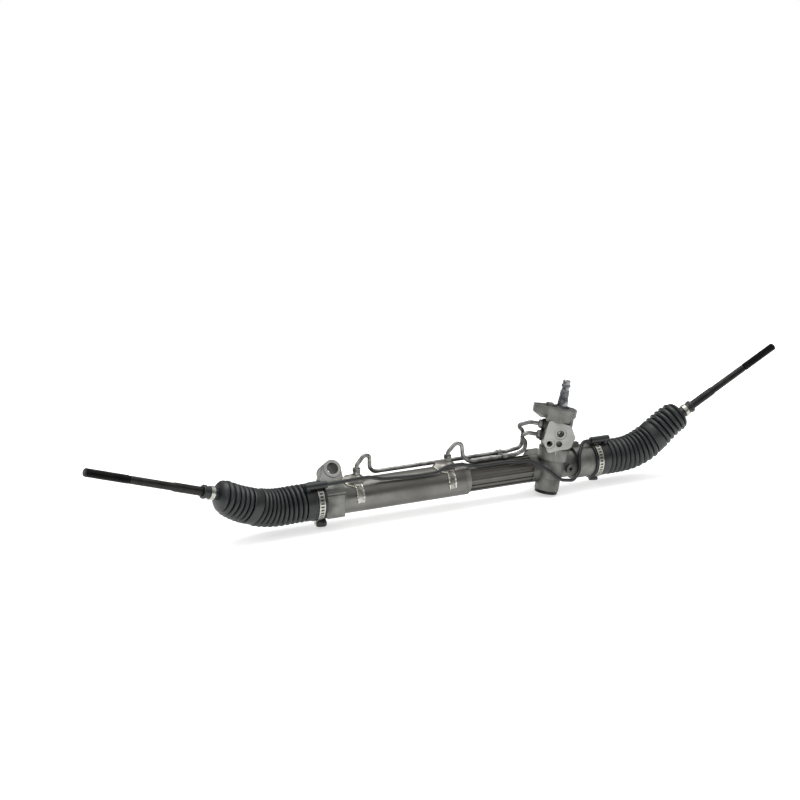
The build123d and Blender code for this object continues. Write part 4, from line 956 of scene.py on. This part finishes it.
# ---- boot clamps --------------------------------------------------------------------
# Stainless strip, bright with fine scuffs of 3 mm, perforated along its middle and closed
# by a crimped ear near the bottom, and a plain spring clip round each neck.
strip, tree, place = start_material("stainless_strip")
scuffs = add(tree, "ShaderNodeTexNoise", {"Vector": place, "Scale": 300, "Detail": 4})
tint = add(tree, "ShaderNodeMix", {
    0: scuffs.outputs[0], 6: hex_colour("#86867f"), 7: hex_colour("#cbcac2"),
}, data_type="RGBA")
surface = add(tree, "ShaderNodeBsdfPrincipled", {
    "Base Color": tint.outputs[2], "Metallic": 1, "Roughness": 0.3,
})
add(tree, "ShaderNodeOutputMaterial", {"Surface": surface.outputs[0]})
finish_nodes(strip, "left_neck_clamp", "right_neck_clamp")

strip_thickness = 0.0010
strip_rib = 0.0022
strip_steps = 72
ear_height, ear_inset = 0.0065, 0.0010
ear_turn = 166  # degrees round the rack from the top
# (across, share of the height): two legs and a round top
ear_outline = [
    (-0.0062, 0), (-0.0034, 0.45), (-0.0052, 0.8), (-0.0030, 1), (0.0030, 1), (0.0052, 0.8),
    (0.0034, 0.45), (0.0062, 0),
]


def boot_clamp(side, lug_shift, lug_size):
    """The big clamp of one boot, and the lug under its cuff."""
    low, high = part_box(side + "_boot_clamp")
    middle, half = (low.x + high.x) / 2, (high.x - low.x) / 2
    hub = Vector((middle, rack_axis.y, rack_axis.z))
    bore = cuff_radius + 0.00005
    rim = bore + strip_thickness
    shape = ring([
        (-half, bore), (-half, rim), (-half + strip_rib, rim), (half - strip_rib, rim),
        (half, rim), (half, bore),
    ], strip_steps)
    # every second face along the middle of the outside is a slot
    slots = []
    for face in shape.faces:
        spot = face.calc_center_median()
        step = round(math.atan2(spot.y, spot.z) / (2 * math.pi) * strip_steps - 0.5)
        if abs(spot.x) < 1e-4 and spot.yz.length > bore + strip_thickness / 2 and step % 2:
            slots.append(face)
    bmesh.ops.inset_individual(shape, faces=slots, thickness=0.0004, depth=-0.0008)
    for face in slots:
        face.material_index = 1
    # the crimped ear, standing out near the bottom
    front = [
        shape.verts.new((-half + ear_inset, y, rim - 0.0004 + share * ear_height))
        for y, share in ear_outline
    ]
    cap = shape.faces.new(front)
    side_faces = bmesh.ops.extrude_face_region(shape, geom=[cap])["geom"]
    far = [item for item in side_faces if isinstance(item, bmesh.types.BMVert)]
    bmesh.ops.translate(shape, verts=far, vec=(2 * (half - ear_inset), 0, 0))
    bmesh.ops.rotate(shape, verts=front + far, cent=(0, 0, 0),
                     matrix=Matrix.Rotation(math.radians(ear_turn), 3, "X"))
    bmesh.ops.recalc_face_normals(shape, faces=shape.faces)
    bmesh.ops.translate(shape, verts=shape.verts, vec=hub)
    clamp = finish_piece(side + "_perforated_clamp", shape, strip, "housing")
    clamp.data.materials.append(rubber)
    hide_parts(side + "_boot_clamp")
    # the moulded lug under the cuff that the ear lies in
    lug = bmesh.new()
    bmesh.ops.create_cube(lug, size=1)
    bmesh.ops.scale(lug, verts=lug.verts, vec=lug_size)
    bmesh.ops.bevel(lug, geom=lug.edges[:], offset=min(lug_size) * 0.38, segments=4, profile=0.5,
                    affect="EDGES", material=-1)
    for vert in lug.verts:
        vert.co += vert.co.normalized() * 0.0012 * noise.noise(vert.co / 0.006)
    bmesh.ops.translate(lug, verts=lug.verts, vec=(lug_shift, 0, -bore - lug_size[2] * 0.32))
    bmesh.ops.rotate(lug, verts=lug.verts, cent=(0, 0, 0),
                     matrix=Matrix.Rotation(math.radians(ear_turn - 180), 3, "X"))
    bmesh.ops.translate(lug, verts=lug.verts, vec=hub)
    finish_piece(side + "_cuff_lug", lug, rubber, "housing")


boot_clamp("left", 0.0070, (0.0185, 0.0150, 0.0150))
boot_clamp("right", -0.0020, (0.0150, 0.0130, 0.0080))

# ---- pressure pipes -----------------------------------------------------------------
# Bent steel pipes that join the valve housing to the two ends of the cylinder, zinc
# plated and gone dull, with flare nuts at each end and a clip that ties them together.
zinc, tree, place = start_material("dull_zinc")
bloom = add(tree, "ShaderNodeTexNoise", {"Vector": place, "Scale": 70, "Detail": 6})
bloom_share = add(tree, "ShaderNodeMapRange", {
    "Value": bloom.outputs[0], "From Min": 0.38, "From Max": 0.62,
})
tint = add(tree, "ShaderNodeMix", {
    0: bloom_share.outputs[0], 6: hex_colour("#666664"), 7: hex_colour("#989895"),
}, data_type="RGBA")
rounded = add(tree, "ShaderNodeBevel", {"Radius": 0.0006}, samples=4)
surface = add(tree, "ShaderNodeBsdfPrincipled", {
    "Base Color": tint.outputs[2], "Metallic": 0.95, "Roughness": 0.36,
    "Normal": rounded.outputs[0],
})
add(tree, "ShaderNodeOutputMaterial", {"Surface": surface.outputs[0]})
finish_nodes(
    zinc, "long_pressure_pipe", "short_pressure_pipe", "left_port_nut", "right_port_nut",
    "pipe_clip",
)
# the two nuts in the valve housing, each between a seal on its seat and one on its pipe;
# the black ring on the seat also stands in for the shadow of the boss round the nut
nut_corner, nut_depth, nut_bevel = 0.0083, 0.0080, 0.0007
nut_seat = 0.0045  # from the middle of a nut back to its seat
for level in ("upper", "lower"):
    low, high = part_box(level + "_union_nut")
    seat = (low + high) / 2 - fitting_axis * nut_seat
    nut = bmesh.new()
    bmesh.ops.create_cone(
        nut, cap_ends=True, segments=6, radius1=nut_corner, radius2=nut_corner, depth=nut_depth,
        matrix=Matrix.Translation((nut_depth / 2, 0, 0)) @ Matrix.Rotation(math.pi / 2, 4, "Y"),
    )
    bmesh.ops.bevel(nut, geom=nut.edges[:], offset=nut_bevel, segments=2, profile=0.5,
                    affect="EDGES", material=-1)
    nut_piece = finish_piece(level + "_flare_nut", aim(nut, seat, fitting_axis), zinc,
                             "housing")
    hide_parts(level + "_union_nut")
    # painted shadow: this black rubber ring is also the dark shadow round the nut
    finish_piece(level + "_nut_seal_and_shadow", aim(ring([
        (-0.0002, 0.0070), (-0.0002, 0.0099), (0.0020, 0.0099), (0.0028, 0.0092), (0.0028, 0.0070),
    ], 40), seat, fitting_axis), rubber, "housing")
    finish_piece(level + "_pipe_sleeve_seal", aim(ring([
        (0.0076, 0.0037), (0.0076, 0.0056), (0.0084, 0.0056), (0.0088, 0.0052), (0.0088, 0.0037),
    ], 32), seat, fitting_axis), rubber, "housing")

# ---- breather tube ------------------------------------------------------------------
# Black rubber tube, extruded and a little dusty, that lets air pass between the boots. It
# is pushed into a moulded elbow above each cuff. The seals inside are of the same rubber.
hose, tree, place = start_material("extruded_rubber")
dust = add(tree, "ShaderNodeTexNoise", {"Vector": place, "Scale": 45, "Detail": 6})
tone = add(tree, "ShaderNodeMix", {
    0: dust.outputs[0], 6: hex_colour("#0b0c0d"), 7: hex_colour("#1d2021"),
}, data_type="RGBA")
rounded = add(tree, "ShaderNodeBevel", {"Radius": 0.0012}, samples=4)
surface = add(tree, "ShaderNodeBsdfPrincipled", {
    "Base Color": tone.outputs[2], "Roughness": 0.42, "IOR": 1.52,
    "Normal": rounded.outputs[0],
})
add(tree, "ShaderNodeOutputMaterial", {"Surface": surface.outputs[0]})
finish_nodes(
    hose, "breather_tube", "left_breather_elbow", "right_breather_elbow", "left_rack_seal",
    "inner_rack_seal", "input_shaft_seal",
)
